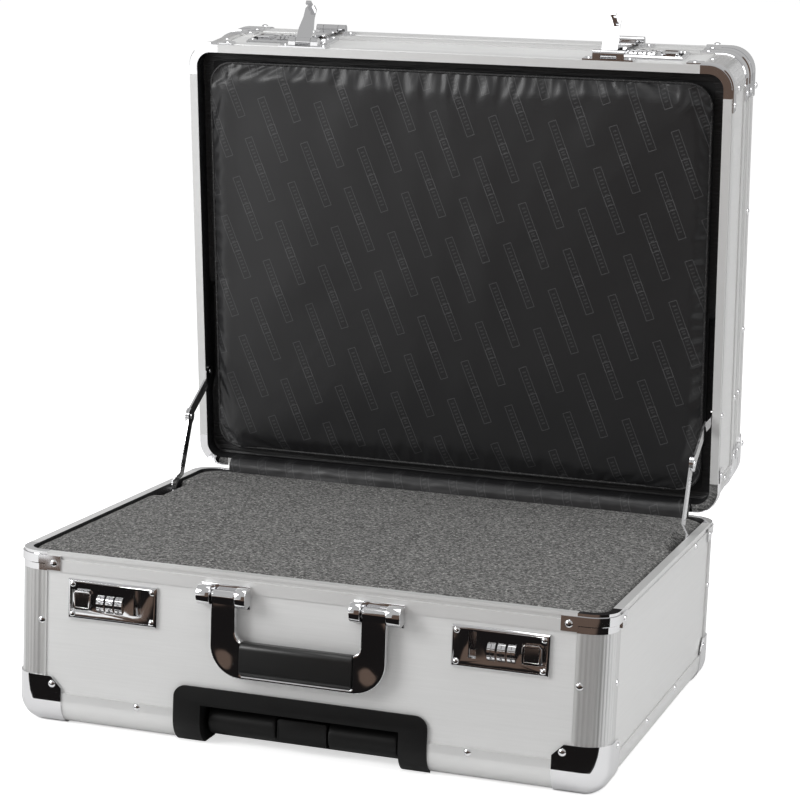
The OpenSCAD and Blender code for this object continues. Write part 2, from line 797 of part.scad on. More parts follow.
module foam_block() color(foam_grey) {
  w = case_w - 2 * (rim_w + foam_gap);
  d = case_d - 2 * (rim_w + foam_gap);
  bottom = panel_in + panel_t + run;
  difference() {
    union() {
      // The lowest layer is cut narrower to lie between the edge profiles
      translate([0, 0, bottom]) linear_extrude(edge_r + 1 - bottom)
        square([case_w - 2 * edge_leg - 2 * run, case_d - 2 * edge_leg - 2 * run], center = true);
      translate([0, 0, edge_r]) linear_extrude(base_h - foam_low - edge_r)
        rounded_plate(w, d, edge_r - 4);
    }
    // Room for the trolley's recess and channel, the wheels and the locks
    translate([-recess_w / 2 - 4, -half_d, 0]) cube([recess_w + 8, recess_d + 4, recess_h + 5]);
    translate([-channel_w / 2 - run, -half_d, 0])
      cube([channel_w + 2 * run, channel_len + recess_d + 3, channel_h + run]);
    both() {
      translate([wheel_x - house_w / 2 - run, house_front - run, 0])
        cube([house_w + 2 * run, case_d, house_top + 2 * run]);
      translate([lock_x - lock_in + 6, -half_d, base_lock_z + 1.5])
        cube([lock_w - 8, panel_in + lock_depth + run, lock_h - 2.5]);
      // The stay folds down beside the foam
      translate([half_w - rim_w - lower_in - stay_t - rivet_h - run, stay_at - 42,
        base_h - stay_inset - 8]) cube([20, 42 + stay_w, 20]);
    }
  }
}

module base_locks() color(chrome) {
  for (side = [-1, 1]) at_lock(side, base_lock_z) lock_case();
}

handle_y = panel_y - handle_out;
arm_in = handle_w / 2 - arm_w;

// Each bracket: a plate over the rim and two lugs that hold the handle's pin
module handle_brackets() color(chrome) {
  lug_r = 6.5;
  inner = 8.7;
  outer = 11;
  full = arm_w + inner + outer + 2 * run;
  both() translate([arm_in - run - inner, 0, 0]) {
    translate([0, -half_d - 1.6, handle_z - 10]) cube([full, 1.6, 21]);
    translate([0, -half_d - 1, handle_z - 10])
      cube([full, 1 + panel_in, base_h - rim_h - play - handle_z + 10]);
    for (lug = [[0, inner], [inner + arm_w + 2 * run, outer]])
      translate([lug[0], 0, 0]) {
        translate([0, handle_y, handle_z]) rotate([0, 90, 0]) cylinder(r = lug_r, h = lug[1]);
        translate([0, handle_y, handle_z - lug_r]) cube([lug[1], -half_d - 1 - handle_y, 2 * lug_r]);
      }
    translate([1, handle_y, handle_z]) rotate([0, 90, 0]) cylinder(r = handle_pin_r, h = full - 2);
  }
}

// Flat bow: two arms that turn into a bar under the grip
module bow_outline() {
  difference() {
    union() {
      translate([-handle_w / 2 + bow_r, -handle_drop]) square([handle_w - 2 * bow_r, bow_r]);
      translate([-handle_w / 2, -handle_drop + bow_r]) square([handle_w, handle_drop - bow_r]);
      for (s = [-1, 1]) translate([s * (handle_w / 2 - bow_r), -handle_drop + bow_r]) circle(bow_r);
    }
    // Opening between the arms, with small round corners above the grip
    inner_r = 8;
    low = -handle_drop + grip_h + 3;
    translate([-arm_in, low + inner_r]) square([2 * arm_in, handle_drop]);
    translate([-arm_in + inner_r, low]) square([2 * (arm_in - inner_r), handle_drop]);
    for (s = [-1, 1]) translate([s * (arm_in - inner_r), low + inner_r]) circle(inner_r);
  }
}

module handle_bow() color(chrome) translate([0, handle_y, handle_z]) {
  difference() {
    union() {
      translate([0, bow_t / 2, 0]) rotate([90, 0, 0]) linear_extrude(bow_t) difference() {
        bow_outline();
        // The bar inside the grip is thinner than the grip is tall
        translate([-grip_len / 2 - play, -handle_drop + grip_h - 3]) square([grip_len + 2 * play, 10]);
      }
      both() translate([arm_in, 0, 0]) rotate([0, 90, 0]) cylinder(r = 4.5, h = arm_w);
    }
    // Inside the grip only a core is left
    for (s = [0, 1]) mirror([0, s, 0])
      translate([-grip_len / 2 - play, 2, -handle_drop + 3])
        cube([grip_len + 2 * play, bow_t, grip_h]);
    rotate([0, 90, 0]) cylinder(r = handle_pin_r + 0.06, h = handle_w + 2, center = true);
  }
}

module handle_grip() color(black_plastic) translate([0, handle_y, handle_z]) {
  r = 5;
  difference() {
    rotate([90, 0, 90]) translate([-0.6, -handle_drop + 3.3 + grip_h / 2])
      linear_extrude(grip_len - 2 * play, center = true) rounded_plate(grip_t, grip_h, r);
    translate([-grip_len, -2 - play, -handle_drop])
      cube([2 * grip_len, 4 + 2 * play, grip_h - 3 + play]);
  }
}

// Outline of the case seen from the side at the front edge, grown by t
module front_nose(t) {
  difference() {
    union() {
      translate([-half_d + edge_r, edge_r]) circle(edge_r + t);
      translate([-half_d - t, edge_r]) square([edge_r + 2, case_d]);
      translate([-half_d + edge_r, -t]) square([case_d, edge_r + 2]);
      translate([-half_d + edge_r - 1, edge_r - 1]) square(case_d);
    }
    translate([-case_d, -case_d]) square([2 * case_d, case_d]);
  }
}

module trolley_bezel() color(black_plastic) {
  wall = 3;
  corner = 10;
  difference() {
    union() {
      // Face frame laid on the panel and round the bottom edge
      intersection() {
        rotate([90, 0, 90]) linear_extrude(bezel_w, center = true) difference() {
          front_nose(bezel_t);
          front_nose(play);
        }
        translate([0, -half_d + 12, 0]) rotate([90, 0, 0]) linear_extrude(30) union() {
          translate([0, bezel_h - corner]) square([bezel_w - 2 * corner, 2 * corner], center = true);
          translate([-bezel_w / 2, 0]) square([bezel_w, bezel_h - corner]);
          for (s = [-1, 1]) translate([s * (bezel_w / 2 - corner), bezel_h - corner]) circle(corner);
        }
      }
      // Walls of the recess
      intersection() {
        rotate([90, 0, 90]) linear_extrude(bezel_w, center = true) front_nose(bezel_t);
        translate([-recess_w / 2 - wall, -half_d - bezel_t, 0])
          cube([recess_w + 2 * wall, recess_d + bezel_t, recess_h + wall]);
      }
      // Lip that seats the frame on the panel above the recess
      translate([-bezel_w / 2 + corner, -half_d - bezel_t + 0.4, recess_h + wall + 1])
        cube([bezel_w - 2 * corner, bezel_t + panel_in - 0.4, bezel_h - recess_h - wall - 3]);
    }
    translate([-recess_w / 2, -half_d - 10, -1]) cube([recess_w, recess_d + 20, recess_h + 1]);
  }
}

// Rectangular tube with rounded corners, running along Y
module tube(w, h, wall, y0, y1) {
  r = 3;
  translate([0, y1, 0]) rotate([90, 0, 0]) linear_extrude(y1 - y0) difference() {
    rounded_plate(w, h, r);
    rounded_plate(w - 2 * wall, h - 2 * wall, r - wall);
  }
}

tube_back = channel_front + channel_len - 6;
tube_step = 2 * (tube_wall + tube_gap);

// Channel in the floor with the fixed outer tubes, and the two wheel housings
module trolley_chassis() color(black_plastic) {
  wall = 3;
  difference() {
    translate([-channel_w / 2, channel_front, 0]) cube([channel_w, channel_len, channel_h]);
    difference() {
      translate([-channel_w / 2 + wall, channel_front + wall, wall])
        cube([channel_w - 2 * wall, channel_len - 2 * wall, channel_h - 2 * wall]);
      // Saddles under and over each tube
      both() for (y = [channel_front + 20, tube_back - 30])
        translate([tube_x - tube_w / 2 - 2, y, 0]) cube([tube_w + 4, 10, channel_h]);
    }
    both() translate([tube_x, 0, tube_z]) rotate([90, 0, 0])
      linear_extrude(2 * case_d, center = true)
        rounded_plate(tube_w + 2 * play, tube_h + 2 * play, 3 + play);
  }
  both() translate([tube_x, 0, tube_z]) tube(tube_w, tube_h, tube_wall, channel_front, tube_back);
  both() translate([wheel_x, 0, 0]) {
    difference() {
      intersection() {
        translate([-house_w / 2, house_front, 0])
          cube([house_w, half_d - house_front + bezel_t, house_top]);
        rotate([90, 0, 90]) linear_extrude(house_w, center = true)
          mirror([1, 0]) front_nose(bezel_t);
      }
      translate([-house_w / 2 + wheel_wall, house_front + wheel_wall, -1])
        cube([house_w - 2 * wheel_wall, case_d, house_top + 1 - wheel_wall]);
    }
    translate([0, half_d - wheel_y, wheel_z]) rotate([0, 90, 0])
      cylinder(r = axle_r, h = house_w - 2, center = true);
  }
}

module base_hinges() color(aluminium) hinge_lower(lid_pin_z, base_h);

module trolley_middle_tubes() color(aluminium)
  both() translate([tube_x, 0, tube_z])
    tube(tube_w - tube_step, tube_h - tube_step, tube_wall, channel_front - 1, tube_back - 2);

pull_front = -half_d + 7;
pull_back = pull_front + pull_d;
module trolley_inner_tubes() color(aluminium)
  both() translate([tube_x, 0, tube_z])
    tube(tube_w - 2 * tube_step, tube_h - 2 * tube_step, tube_wall, pull_back - 12, tube_back - 4);

// Moulded grip, rounded at the front, with pockets for the tubes and the button
module trolley_grip() color(black_plastic) {
  r = 8;
  difference() {
    translate([0, pull_front + pull_d / 2, tube_z]) rotate([90, 0, 90])
      linear_extrude(pull_w, center = true) union() {
        rounded_plate(pull_d, pull_h, r);
        translate([0, -pull_h / 2 + 2]) square([pull_d / 2, pull_h - 4]);
      }
    both() translate([tube_x, pull_back - 12 - play, tube_z]) rotate([-90, 0, 0])
      linear_extrude(pull_d)
        rounded_plate(tube_w - 2 * tube_step + 2 * play, tube_h - 2 * tube_step + 2 * play, 3);
    translate([-press_w / 2 - run, pull_front - 1, tube_z - press_h / 2 - run])
      cube([press_w + 2 * run, 9 + press_travel, press_h + 2 * run]);
  }
}

module trolley_button() color(black_plastic) {
  r = 2;
  translate([0, pull_front + 7, tube_z]) rotate([90, 0, 0])
    linear_extrude(8) rounded_plate(press_w, press_h, r);
}

// Solid tyre on a hub with six round windows
module wheel() {
  color(black_plastic) translate([0, half_d - wheel_y, wheel_z]) rotate([0, 90, 0]) difference() {
    translate([0, 0, -wheel_w / 2]) rotate_extrude() polygon([
      [axle_r + 0.08, 0], [wheel_r - 9, 0], [wheel_r - 8, 2], [wheel_r - 6, 2], [wheel_r - 5, 0],
      [wheel_r - 2, 0], [wheel_r, 2], [wheel_r, wheel_w - 2], [wheel_r - 2, wheel_w],
      [wheel_r - 5, wheel_w], [wheel_r - 6, wheel_w - 2], [wheel_r - 8, wheel_w - 2],
      [wheel_r - 9, wheel_w], [axle_r + 0.08, wheel_w]]);
    for (k = [0:5]) rotate(60 * k) translate([(axle_r + wheel_r - 9) / 2 + 1, 0, 0])
      cylinder(r = 2.4, h = wheel_w + 2, center = true);
  }
}

module wheel_left() translate([-wheel_x, 0, 0]) wheel();
module wheel_right() translate([wheel_x, 0, 0]) wheel();

module stay_lower_left() color(chrome) on_side(-1) stay_lower(lid_stay_low, lid_stay_knee);
module stay_lower_right() color(chrome) on_side(1) stay_lower(lid_stay_low, lid_stay_knee);
module stay_upper_left() color(chrome) on_side(-1) stay_upper(lid_stay_up, lid_stay_knee);
module stay_upper_right() color(chrome) on_side(1) stay_upper(lid_stay_up, lid_stay_knee);

module base_button_left() color(chrome) at_lock(-1, base_lock_z) lock_button();
module base_button_right() color(chrome) at_lock(1, base_lock_z) lock_button();
module base_dial(side, i) color(chrome) at_lock(side, base_lock_z) lock_dial(i);
module lid_button_left() color(chrome) with_lid() at_lock(-1, lid_lock_z) lock_button();
module lid_button_right() color(chrome) with_lid() at_lock(1, lid_lock_z) lock_button();
module lid_dial(side, i) color(chrome) with_lid() at_lock(side, lid_lock_z) lock_dial(i);

divider_z = lid_z + rim_h + divider_in;
module lid_panels() color(sheet_silver) with_lid() {
  difference() {
    wall_panels(lid_z + rim_slot, lid_top - rim_slot);
    lock_room(lid_lock_z);
  }
  // Board between the two compartments, notched for the locks and the folded stays
  notch_in = lower_in + stay_t + rivet_h + run;
  difference() {
    translate([0, 0, divider_z]) linear_extrude(divider_t)
      rounded_plate(case_w - 2 * rim_w, case_d - 2 * rim_w, edge_r - rim_w);
    lock_room(lid_lock_z);
    both() translate([half_w - rim_w - notch_in, stay_at - stay_low - 1.4 * stay_w, divider_z - 1])
      cube([notch_in + 1, stay_low + 3 * stay_w, divider_t + 2]);
  }
}

module lid_profiles() color(aluminium) with_lid() {
  difference() {
    union() {
      rim_bars(lid_z, 1);
      rim_bars(lid_top, -1);
    }
    knuckle_room(lid_pin_z);
    knuckle_room(cover_pin_z);
  }
  corner_posts(lid_z + rim_h + play, lid_top - rim_h - play);
}

module lid_corners() color(chrome) with_lid() {
  rim_corners(lid_z, 1);
  rim_corners(lid_top, -1);
}

module lid_rivets() color(chrome) {
  with_lid() {
    rim_corner_rivets(lid_z, 1);
    rim_corner_rivets(lid_top, -1);
    four_rivets(half_w - edge_leg + 4, half_d - edge_leg + 4, (lid_z + lid_top) / 2 - 4);
    both() stay_rivet([stay_at, base_h + stay_inset]);
    both() stay_rivet(cover_stay_low);
  }
}

// Puffy lining: a crowned cushion whose sides are drawn in at the seam
module lining_pad() color(lining_black) with_lid() {
  w = case_w - 2 * rim_w - 2 * pad_gap;
  d = case_d - 2 * rim_w - 2 * pad_gap;
  translate([0, 0, divider_z - run]) mirror([0, 0, 1]) pad_cushion(w, d, edge_r, pad_h);
}

// Height profile across the boxed cushion: low at the seam, soon full, then gently crowned
function pad_rise(e) = e <= 0 ? 0.6
  : 0.6 + 0.28 * sqrt(1 - pow(1 - min(e / 14, 1), 2)) + 0.12 * min(e / 90, 1);
function ring_point(w, d, r, k, n) =
  let(a = 360 * (k + 0.5) / n, sx = cos(a) > 0 ? 1 : -1, sy = sin(a) > 0 ? 1 : -1)
  [sx * (w / 2 - r) + r * cos(a), sy * (d / 2 - r) + r * sin(a)];
module pad_cushion(w, d, r, h) {
  n = 48;
  insets = [0, 2, 5, 9, 14, 30, 60, 90];
  rings = len(insets);
  top = [for (i = [0:rings - 1]) for (k = [0:n - 1])
    let(e = insets[i], p = ring_point(w - 2 * e, d - 2 * e, max(r - e, 4), k, n))
    [p[0], p[1], h * pad_rise(e)]];
  bottom = [for (k = [0:n - 1]) let(p = ring_point(w - 3, d - 3, r - 1, k, n)) [p[0], p[1], 0]];
  base0 = rings * n;
  faces = concat(
    [for (i = [0:rings - 2]) for (k = [0:n - 1])
      let(a = i * n + k, b = i * n + (k + 1) % n) [a, a + n, b]],
    [for (i = [0:rings - 2]) for (k = [0:n - 1])
      let(a = i * n + k, b = i * n + (k + 1) % n) [a + n, b + n, b]],
    [for (k = [0:n - 1]) [base0 + k, k, base0 + (k + 1) % n]],
    [for (k = [0:n - 1]) [k, (k + 1) % n, base0 + (k + 1) % n]],
    [[for (k = [0:n - 1]) (rings - 1) * n + n - 1 - k]],
    [[for (k = [0:n - 1]) base0 + k]]);
  polyhedron(concat(top, bottom), faces);
}

module lid_locks() color(chrome) with_lid() {
  for (side = [-1, 1]) at_lock(side, lid_lock_z) lock_case();
}

module lid_hasp_bases() color(chrome) with_lid()
  both() translate([lock_x, 0, 0]) hasp_base(lid_z);
module lid_hinges() color(aluminium) with_lid() {
  hinge_upper(lid_pin_z);
  hinge_lower(cover_pin_z, lid_top);
}

module lid_hasp(side) color(chrome) with_lid() on_side(side)
  translate([lock_x, hasp_y, lid_z - seam + hasp_up]) rotate([-hasp_open, 0, 0]) hasp_arm();
module lid_hasp_left() lid_hasp(-1);
module lid_hasp_right() lid_hasp(1);

// The cover's shell is a shallow box upside down
module cover_panels() color(sheet_silver) with_lid() {
  wall_panels(cover_z + rim_slot, cover_top - slot_start);
  translate([-half_w + slot_start, -half_d + slot_start, cover_top - panel_in - panel_t])
    cube([case_w - 2 * slot_start, case_d - 2 * slot_start, panel_t]);
}

module cover_profiles() color(aluminium) with_lid() {
  difference() {
    rim_bars(cover_z, 1);
    knuckle_room(cover_pin_z);
  }
  translate([0, 0, cover_top]) mirror([0, 0, 1]) edge_rails();
  if (cover_top - edge_r > cover_z + rim_h + 1)
    corner_posts(cover_z + rim_h + play, cover_top - edge_r);
}

module cover_corners() color(chrome) with_lid() {
  rim_corners(cover_z, 1);
  translate([0, 0, cover_top]) four_corners() ball_corner(ball_cover_h);
}

module cover_rivets() color(chrome) with_lid() {
  rim_corner_rivets(cover_z, 1);
  four_rivets(half_w - ball_reach + 8, half_d - ball_reach + 8, cover_top - 14, corner_t);
  four_rivets(134.5, 53, cover_top - edge_leg + 3.4);
  both() stay_rivet(cover_stay_up);
}

module cover_hasp_bases() color(chrome) with_lid()
  both() translate([lock_x, 0, 0]) hasp_base(cover_z);
module cover_hinges() color(aluminium) with_lid() hinge_upper(cover_pin_z);
module cover_hasp(side) color(chrome) with_lid() on_side(side)
  translate([lock_x, hasp_y, cover_z - seam + hasp_up]) hasp_arm();
module cover_hasp_left() cover_hasp(-1);
module cover_hasp_right() cover_hasp(1);

module cover_stay_lower_left() color(chrome) with_lid()
  on_side(-1) stay_lower(cover_stay_low, cover_stay_knee);
module cover_stay_lower_right() color(chrome) with_lid()
  on_side(1) stay_lower(cover_stay_low, cover_stay_knee);
module cover_stay_upper_left() color(chrome) with_lid()
  on_side(-1) stay_upper(cover_stay_up, cover_stay_knee);
module cover_stay_upper_right() color(chrome) with_lid()
  on_side(1) stay_upper(cover_stay_up, cover_stay_knee);

base_panels();
base_profiles();
base_corners();
base_rivets();
foam_block();
base_locks();
handle_brackets();
trolley_bezel();
trolley_chassis();
base_hinges();
handle_bow();
handle_grip();
trolley_middle_tubes();
trolley_inner_tubes();
trolley_grip();
trolley_button();
wheel_left();
wheel_right();
stay_lower_left();
stay_lower_right();
stay_upper_left();
stay_upper_right();
base_button_left();
base_button_right();
base_dial(-1, 0);  // base_dial_left_1
base_dial(-1, 1);  // base_dial_left_2
base_dial(-1, 2);  // base_dial_left_3
base_dial(1, 0);  // base_dial_right_1
base_dial(1, 1);  // base_dial_right_2
base_dial(1, 2);  // base_dial_right_3
lid_panels();
lid_profiles();
lid_corners();
lid_rivets();
lining_pad();
lid_locks();
lid_hasp_bases();
lid_hinges();
lid_button_left();
lid_button_right();
lid_dial(-1, 0);  // lid_dial_left_1
lid_dial(-1, 1);  // lid_dial_left_2
lid_dial(-1, 2);  // lid_dial_left_3
lid_dial(1, 0);  // lid_dial_right_1
lid_dial(1, 1);  // lid_dial_right_2
lid_dial(1, 2);  // lid_dial_right_3
lid_hasp_left();
lid_hasp_right();
cover_panels();
cover_profiles();
cover_corners();
cover_rivets();
cover_hasp_bases();
cover_hinges();
cover_hasp_left();
cover_hasp_right();
cover_stay_lower_left();
cover_stay_lower_right();
cover_stay_upper_left();
cover_stay_upper_right();
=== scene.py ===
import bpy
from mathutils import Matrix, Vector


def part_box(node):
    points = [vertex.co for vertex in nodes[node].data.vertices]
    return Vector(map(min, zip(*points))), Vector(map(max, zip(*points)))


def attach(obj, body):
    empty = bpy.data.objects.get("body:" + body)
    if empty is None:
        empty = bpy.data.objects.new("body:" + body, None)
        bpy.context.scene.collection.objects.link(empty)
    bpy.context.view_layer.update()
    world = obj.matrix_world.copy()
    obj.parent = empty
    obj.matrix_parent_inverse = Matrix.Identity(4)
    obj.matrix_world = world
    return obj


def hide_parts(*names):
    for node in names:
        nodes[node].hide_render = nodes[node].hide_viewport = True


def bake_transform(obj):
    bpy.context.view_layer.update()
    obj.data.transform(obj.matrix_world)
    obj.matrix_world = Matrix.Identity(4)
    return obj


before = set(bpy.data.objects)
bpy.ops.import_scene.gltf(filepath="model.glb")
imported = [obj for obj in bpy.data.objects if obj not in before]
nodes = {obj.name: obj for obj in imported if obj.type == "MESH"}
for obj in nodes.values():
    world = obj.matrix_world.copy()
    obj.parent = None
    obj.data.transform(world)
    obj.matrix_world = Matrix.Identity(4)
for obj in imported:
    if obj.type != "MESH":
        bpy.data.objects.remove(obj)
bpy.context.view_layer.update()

import math

import bmesh
import bpy
from mathutils import Matrix, Vector, noise

# Camera: stands about 2.1 m off, to the right of the case and a little above the lid,
# with a long lens. Its turn is written as yaw, pitch and roll of a level camera.
camera_at = (0.6337, -1.9958, 0.5989)
yaw, pitch, roll = (math.radians(a) for a in (19.98, -10.52, -1.78))
camera = bpy.data.objects.new("camera", bpy.data.cameras.new("camera"))
bpy.context.scene.collection.objects.link(camera)
camera.matrix_world = (Matrix.Translation(camera_at) @ Matrix.Rotation(yaw, 4, "Z")
                       @ Matrix.Rotation(pitch, 4, "X") @ Matrix.Rotation(roll, 4, "Y")
                       @ Matrix.Rotation(math.radians(90), 4, "X"))
camera.data.lens = 116.74
camera.data.sensor_width = 36
camera.data.shift_x = 0.1494
camera.data.shift_y = 0.0563
camera.data.clip_end = 200
bpy.context.scene.camera = camera
bpy.context.scene.view_settings.view_transform = "Standard"


# Corner posts, rails and rims: extruded aluminium, satin anodised, with fine die lines
# that run round the posts. They grip the panels and are riveted at their ends. Round each post
# the colour carries painted reflection: dark and bright bands of light and shade.
class Tap:
    """A node's output that can be used in sums; every step adds a Math node."""

    def __init__(self, finish, socket):
        self.finish, self.socket = finish, socket

    def sum(self, operation, first, second=None):
        sockets = {0: first} if second is None else {0: first, 1: second}
        return self.finish.node("Math", {"operation": operation}, sockets)

    def __add__(self, other):
        return self.sum("ADD", self, other)

    def __sub__(self, other):
        return self.sum("SUBTRACT", self, other)

    def __mul__(self, other):
        return self.sum("MULTIPLY", self, other)

    def __truediv__(self, other):
        return self.sum("DIVIDE", self, other)

    def __radd__(self, other):
        return self.sum("ADD", other, self)

    def __rsub__(self, other):
        return self.sum("SUBTRACT", other, self)

    def __rmul__(self, other):
        return self.sum("MULTIPLY", other, self)

    def __gt__(self, other):
        return self.sum("GREATER_THAN", self, other)

    def __lt__(self, other):
        return self.sum("LESS_THAN", self, other)

    def __abs__(self):
        return self.sum("ABSOLUTE", self)

    def sine(self):
        return self.sum("SINE", self)

    def fraction(self):
        return self.sum("FRACT", self)


class Finish:
    """One surface finish: a material whose nodes are added by name."""

    def __init__(self, name, colour, roughness, metallic=0.0, **more):
        self.material = bpy.data.materials.new(name)
        self.material.use_nodes = True
        self.tree = self.material.node_tree
        self.shader = self.tree.nodes["Principled BSDF"]
        self.set(**{"Base Color": (*colour, 1), "Roughness": roughness, "Metallic": metallic})
        self.set(**{key.replace("_", " "): value for key, value in more.items()})

    def set(self, **sockets):
        for key, value in sockets.items():
            self.plug(self.shader.inputs[key], value)

    def plug(self, socket, value):
        if isinstance(value, Tap):
            self.tree.links.new(value.socket, socket)
        else:
            socket.default_value = value

    def node(self, kind, settings=None, sockets=None, out=0):
        made = self.tree.nodes.new("ShaderNode" + kind)
        for key, value in (settings or {}).items():
            if key == "stops":
                ramp = made.color_ramp
                while len(ramp.elements) < len(value):
                    ramp.elements.new(1)
                for stop, (place, colour) in zip(ramp.elements, value):
                    stop.position, stop.color = place, (*colour, 1)
            else:
                setattr(made, key, value)
        for key, value in (sockets or {}).items():
            self.plug(made.inputs[key], value)
        return Tap(self, made.outputs[out])

    def place(self, scale=(1, 1, 1), turn=(0, 0, 0)):
        """Object coordinates, stretched by scale after the turn."""
        point = self.node("TexCoord", out="Object")
        return self.node("Mapping", {"vector_type": "POINT"},
                         {"Vector": point, "Rotation": turn, "Scale": scale})

    def noise(self, size, detail=2.0, rough=0.5, scale=(1, 1, 1), turn=(0, 0, 0)):
        """Noise whose lumps are about size metres across."""
        return self.node("TexNoise", sockets={"Vector": self.place(scale, turn), "Scale": 1 / size,
                                              "Detail": detail, "Roughness": rough}, out="Fac")

    def axes(self, point):
        """The three coordinates of a point, each by itself."""
        parts = self.node("SeparateXYZ", sockets={"Vector": point}).socket.node
        return [Tap(self, part) for part in parts.outputs]

    def between(self, mask, low, high):
        """The first colour where mask is 0 and the second where it is 1."""
        low, high = (end if isinstance(end, Tap) else (*end, 1) for end in (low, high))
        return self.node("Mix", {"data_type": "RGBA"}, {"Factor": mask, 6: low, 7: high}, out=2)

    def ramp(self, value, *stops):
        """Colour along a ramp of stops, each a place and a colour."""
        return self.node("ValToRGB", {"stops": stops}, {"Fac": value})

    def bump(self, height, depth, strength=1.0):
        self.set(Normal=self.node("Bump", sockets={"Height": height, "Distance": depth,
                                                   "Strength": strength}))

    def paint(self, *names):
        for name in names:
            target = nodes.get(name) or bpy.data.objects[name]
            target.data.materials.clear()
            target.data.materials.append(self.material)


hinge_pin = Vector((0, 0.195, 0.142))
lid_turn = Matrix.Rotation(math.radians(-82), 4, "X")
lid_up = Matrix.Translation(hinge_pin) @ lid_turn @ Matrix.Translation(-hinge_pin)
turn_back = lid_up.inverted()


def shut_place(finish, turned):
    """The three coordinates that a point has when the lid is shut; the lid's are turned back."""
    if turned:
        point = finish.node("Mapping", {"vector_type": "POINT"}, {
            "Vector": finish.node("TexCoord", out="Object"), "Location": turn_back.translation,
            "Rotation": turn_back.to_euler()})
    else:
        point = finish.place()
    return finish.axes(point)


alloy = (0.70, 0.70, 0.695)
post_from_x, post_from_y = 0.2135, 0.1675
flute_rate = 1500
# |x| - |y| grows round a post, from where it meets the front or back panel to the side panel
post_start, post_span = 0.020, 0.052
for metal_name, rims, turned in (
        ("satin_anodised", ["base_profiles"], False),
        ("satin_anodised_lid", ["lid_profiles", "cover_profiles"], True)):
    anodised = Finish(metal_name, alloy, 0.36, 0.35)
    post_x, post_y, _ = shut_place(anodised, turned)
    round_post = abs(post_x) - abs(post_y)
    flutes = (round_post * flute_rate).sine()
    on_posts = (abs(post_x) > post_from_x) * (abs(post_y) > post_from_y)
    die_lines = anodised.noise(0.0009, 3)
    # Painted reflection and shade: the post's colour steps through dark and bright bands round its
    # corner, as reflected light would fall on it
    post_painted_reflection = anodised.ramp(
        (round_post - post_start) / post_span,
        (0.0, (0.62, 0.62, 0.61)), (0.07, (0.42, 0.415, 0.41)), (0.30, (0.46, 0.455, 0.45)),
        (0.42, (0.40, 0.40, 0.395)), (0.52, (0.60, 0.60, 0.60)), (0.75, (0.66, 0.66, 0.66)),
        (1.0, (0.56, 0.56, 0.555)))
    anodised.set(**{"Base Color": anodised.between(on_posts, alloy, post_painted_reflection),
                    "Roughness": 0.3 + 0.1 * anodised.noise(0.03, 3)})
    anodised.bump(flutes * on_posts * 0.6 + die_lines * 0.15, 0.00022)
    anodised.paint(*rims)

# Panels: thin aluminium laminated on board, slid into the slots of the profiles.
# The face is finely brushed along the case; in lid and cover the inner face carries black felt.
felt_half_w, felt_half_d = 0.2344, 0.1884
felt_low, felt_high = 0.1400, 0.2514
for sheet_name, sheets, lined in (
        ("brushed_sheet", ["base_panels"], False),
        ("brushed_sheet_lined", ["lid_panels", "cover_panels"], True)):
    sheet_metal = Finish(sheet_name, alloy, 0.42, 0.2)
    brushing = sheet_metal.noise(0.0016, 4, 0.6, (0.03, 0.03, 1))
    brushed = sheet_metal.between(brushing, (0.66, 0.66, 0.655), (0.74, 0.74, 0.735))
    brushed_roughness = 0.38 + 0.12 * brushing
    if lined:
        shut_x, shut_y, shut_z = shut_place(sheet_metal, True)
        felt = ((abs(shut_x) < felt_half_w) * (abs(shut_y) < felt_half_d)
                * (shut_z > felt_low) * (shut_z < felt_high))
        sheet_metal.set(**{
            "Base Color": sheet_metal.between(felt, brushed, (0.014, 0.014, 0.015)),
            "Roughness": brushed_roughness * (1 - felt) + 0.85 * felt,
            "Metallic": 0.2 * (1 - felt)})
    else:
        sheet_metal.set(**{"Base Color": brushed, "Roughness": brushed_roughness})
    sheet_metal.bump(brushing, 0.00006)
    sheet_metal.paint(*sheets)

# Corners, rivets, locks, hasps, handle and stays: pressed or cast steel and zinc,
# bright chrome plated, with the faint wipe marks of handling.
chrome = Finish("bright_chrome", (0.80, 0.80, 0.81), 0.07, 1.0)
wiped = chrome.noise(0.02, 5, 0.6)
chrome.set(Roughness=0.035 + 0.06 * wiped)
chrome.bump(chrome.noise(0.018, 1, 0.3), 0.00022)
plated = ("rivets", "corners", "lock", "hasp", "stay", "dial")
chrome.paint(*(name for name in nodes if any(word in name for word in plated)))
chrome.paint("handle_bow", "handle_brackets", "base_button_left", "base_button_right",
             "lid_button_left", "lid_button_right")

# Hinges: rolled steel leaves riveted to the rims, zinc plated and duller than chrome. Two
# join base and lid, and two more carry the laptop cover.
zinc = Finish("zinc_plate", (0.66, 0.66, 0.67), 0.3, 1.0)
zinc.set(Roughness=0.22 + 0.2 * zinc.noise(0.006, 4))
zinc.bump(zinc.noise(0.0012, 2), 0.00003)
zinc.paint("base_hinges", "lid_hinges", "cover_hinges")

# Trolley: bezel, pull grip, button and floor channel are injection moulded in black,
# with a fine grain on every outer face.
moulded = Finish("moulded_black", (0.006, 0.006, 0.006), 0.5, Specular_IOR_Level=0.24)
grain = moulded.noise(0.0007, 2)
moulded.set(Roughness=0.4 + 0.18 * moulded.noise(0.012, 3))
moulded.bump(grain, 0.00005)
moulded.paint("trolley_bezel", "trolley_grip", "trolley_button", "trolley_chassis")

# Telescopic tubes: drawn aluminium, clear anodised, with draw marks along their length. The
# inner pair slides in the middle pair and carries the pull grip.
drawn = Finish("drawn_tube", (0.72, 0.72, 0.72), 0.3, 1.0)
draw_marks = drawn.noise(0.0012, 3, 0.6, (1, 0.02, 1))
drawn.set(Roughness=0.24 + 0.14 * draw_marks)
drawn.bump(draw_marks, 0.00003)
drawn.paint("trolley_middle_tubes", "trolley_inner_tubes")

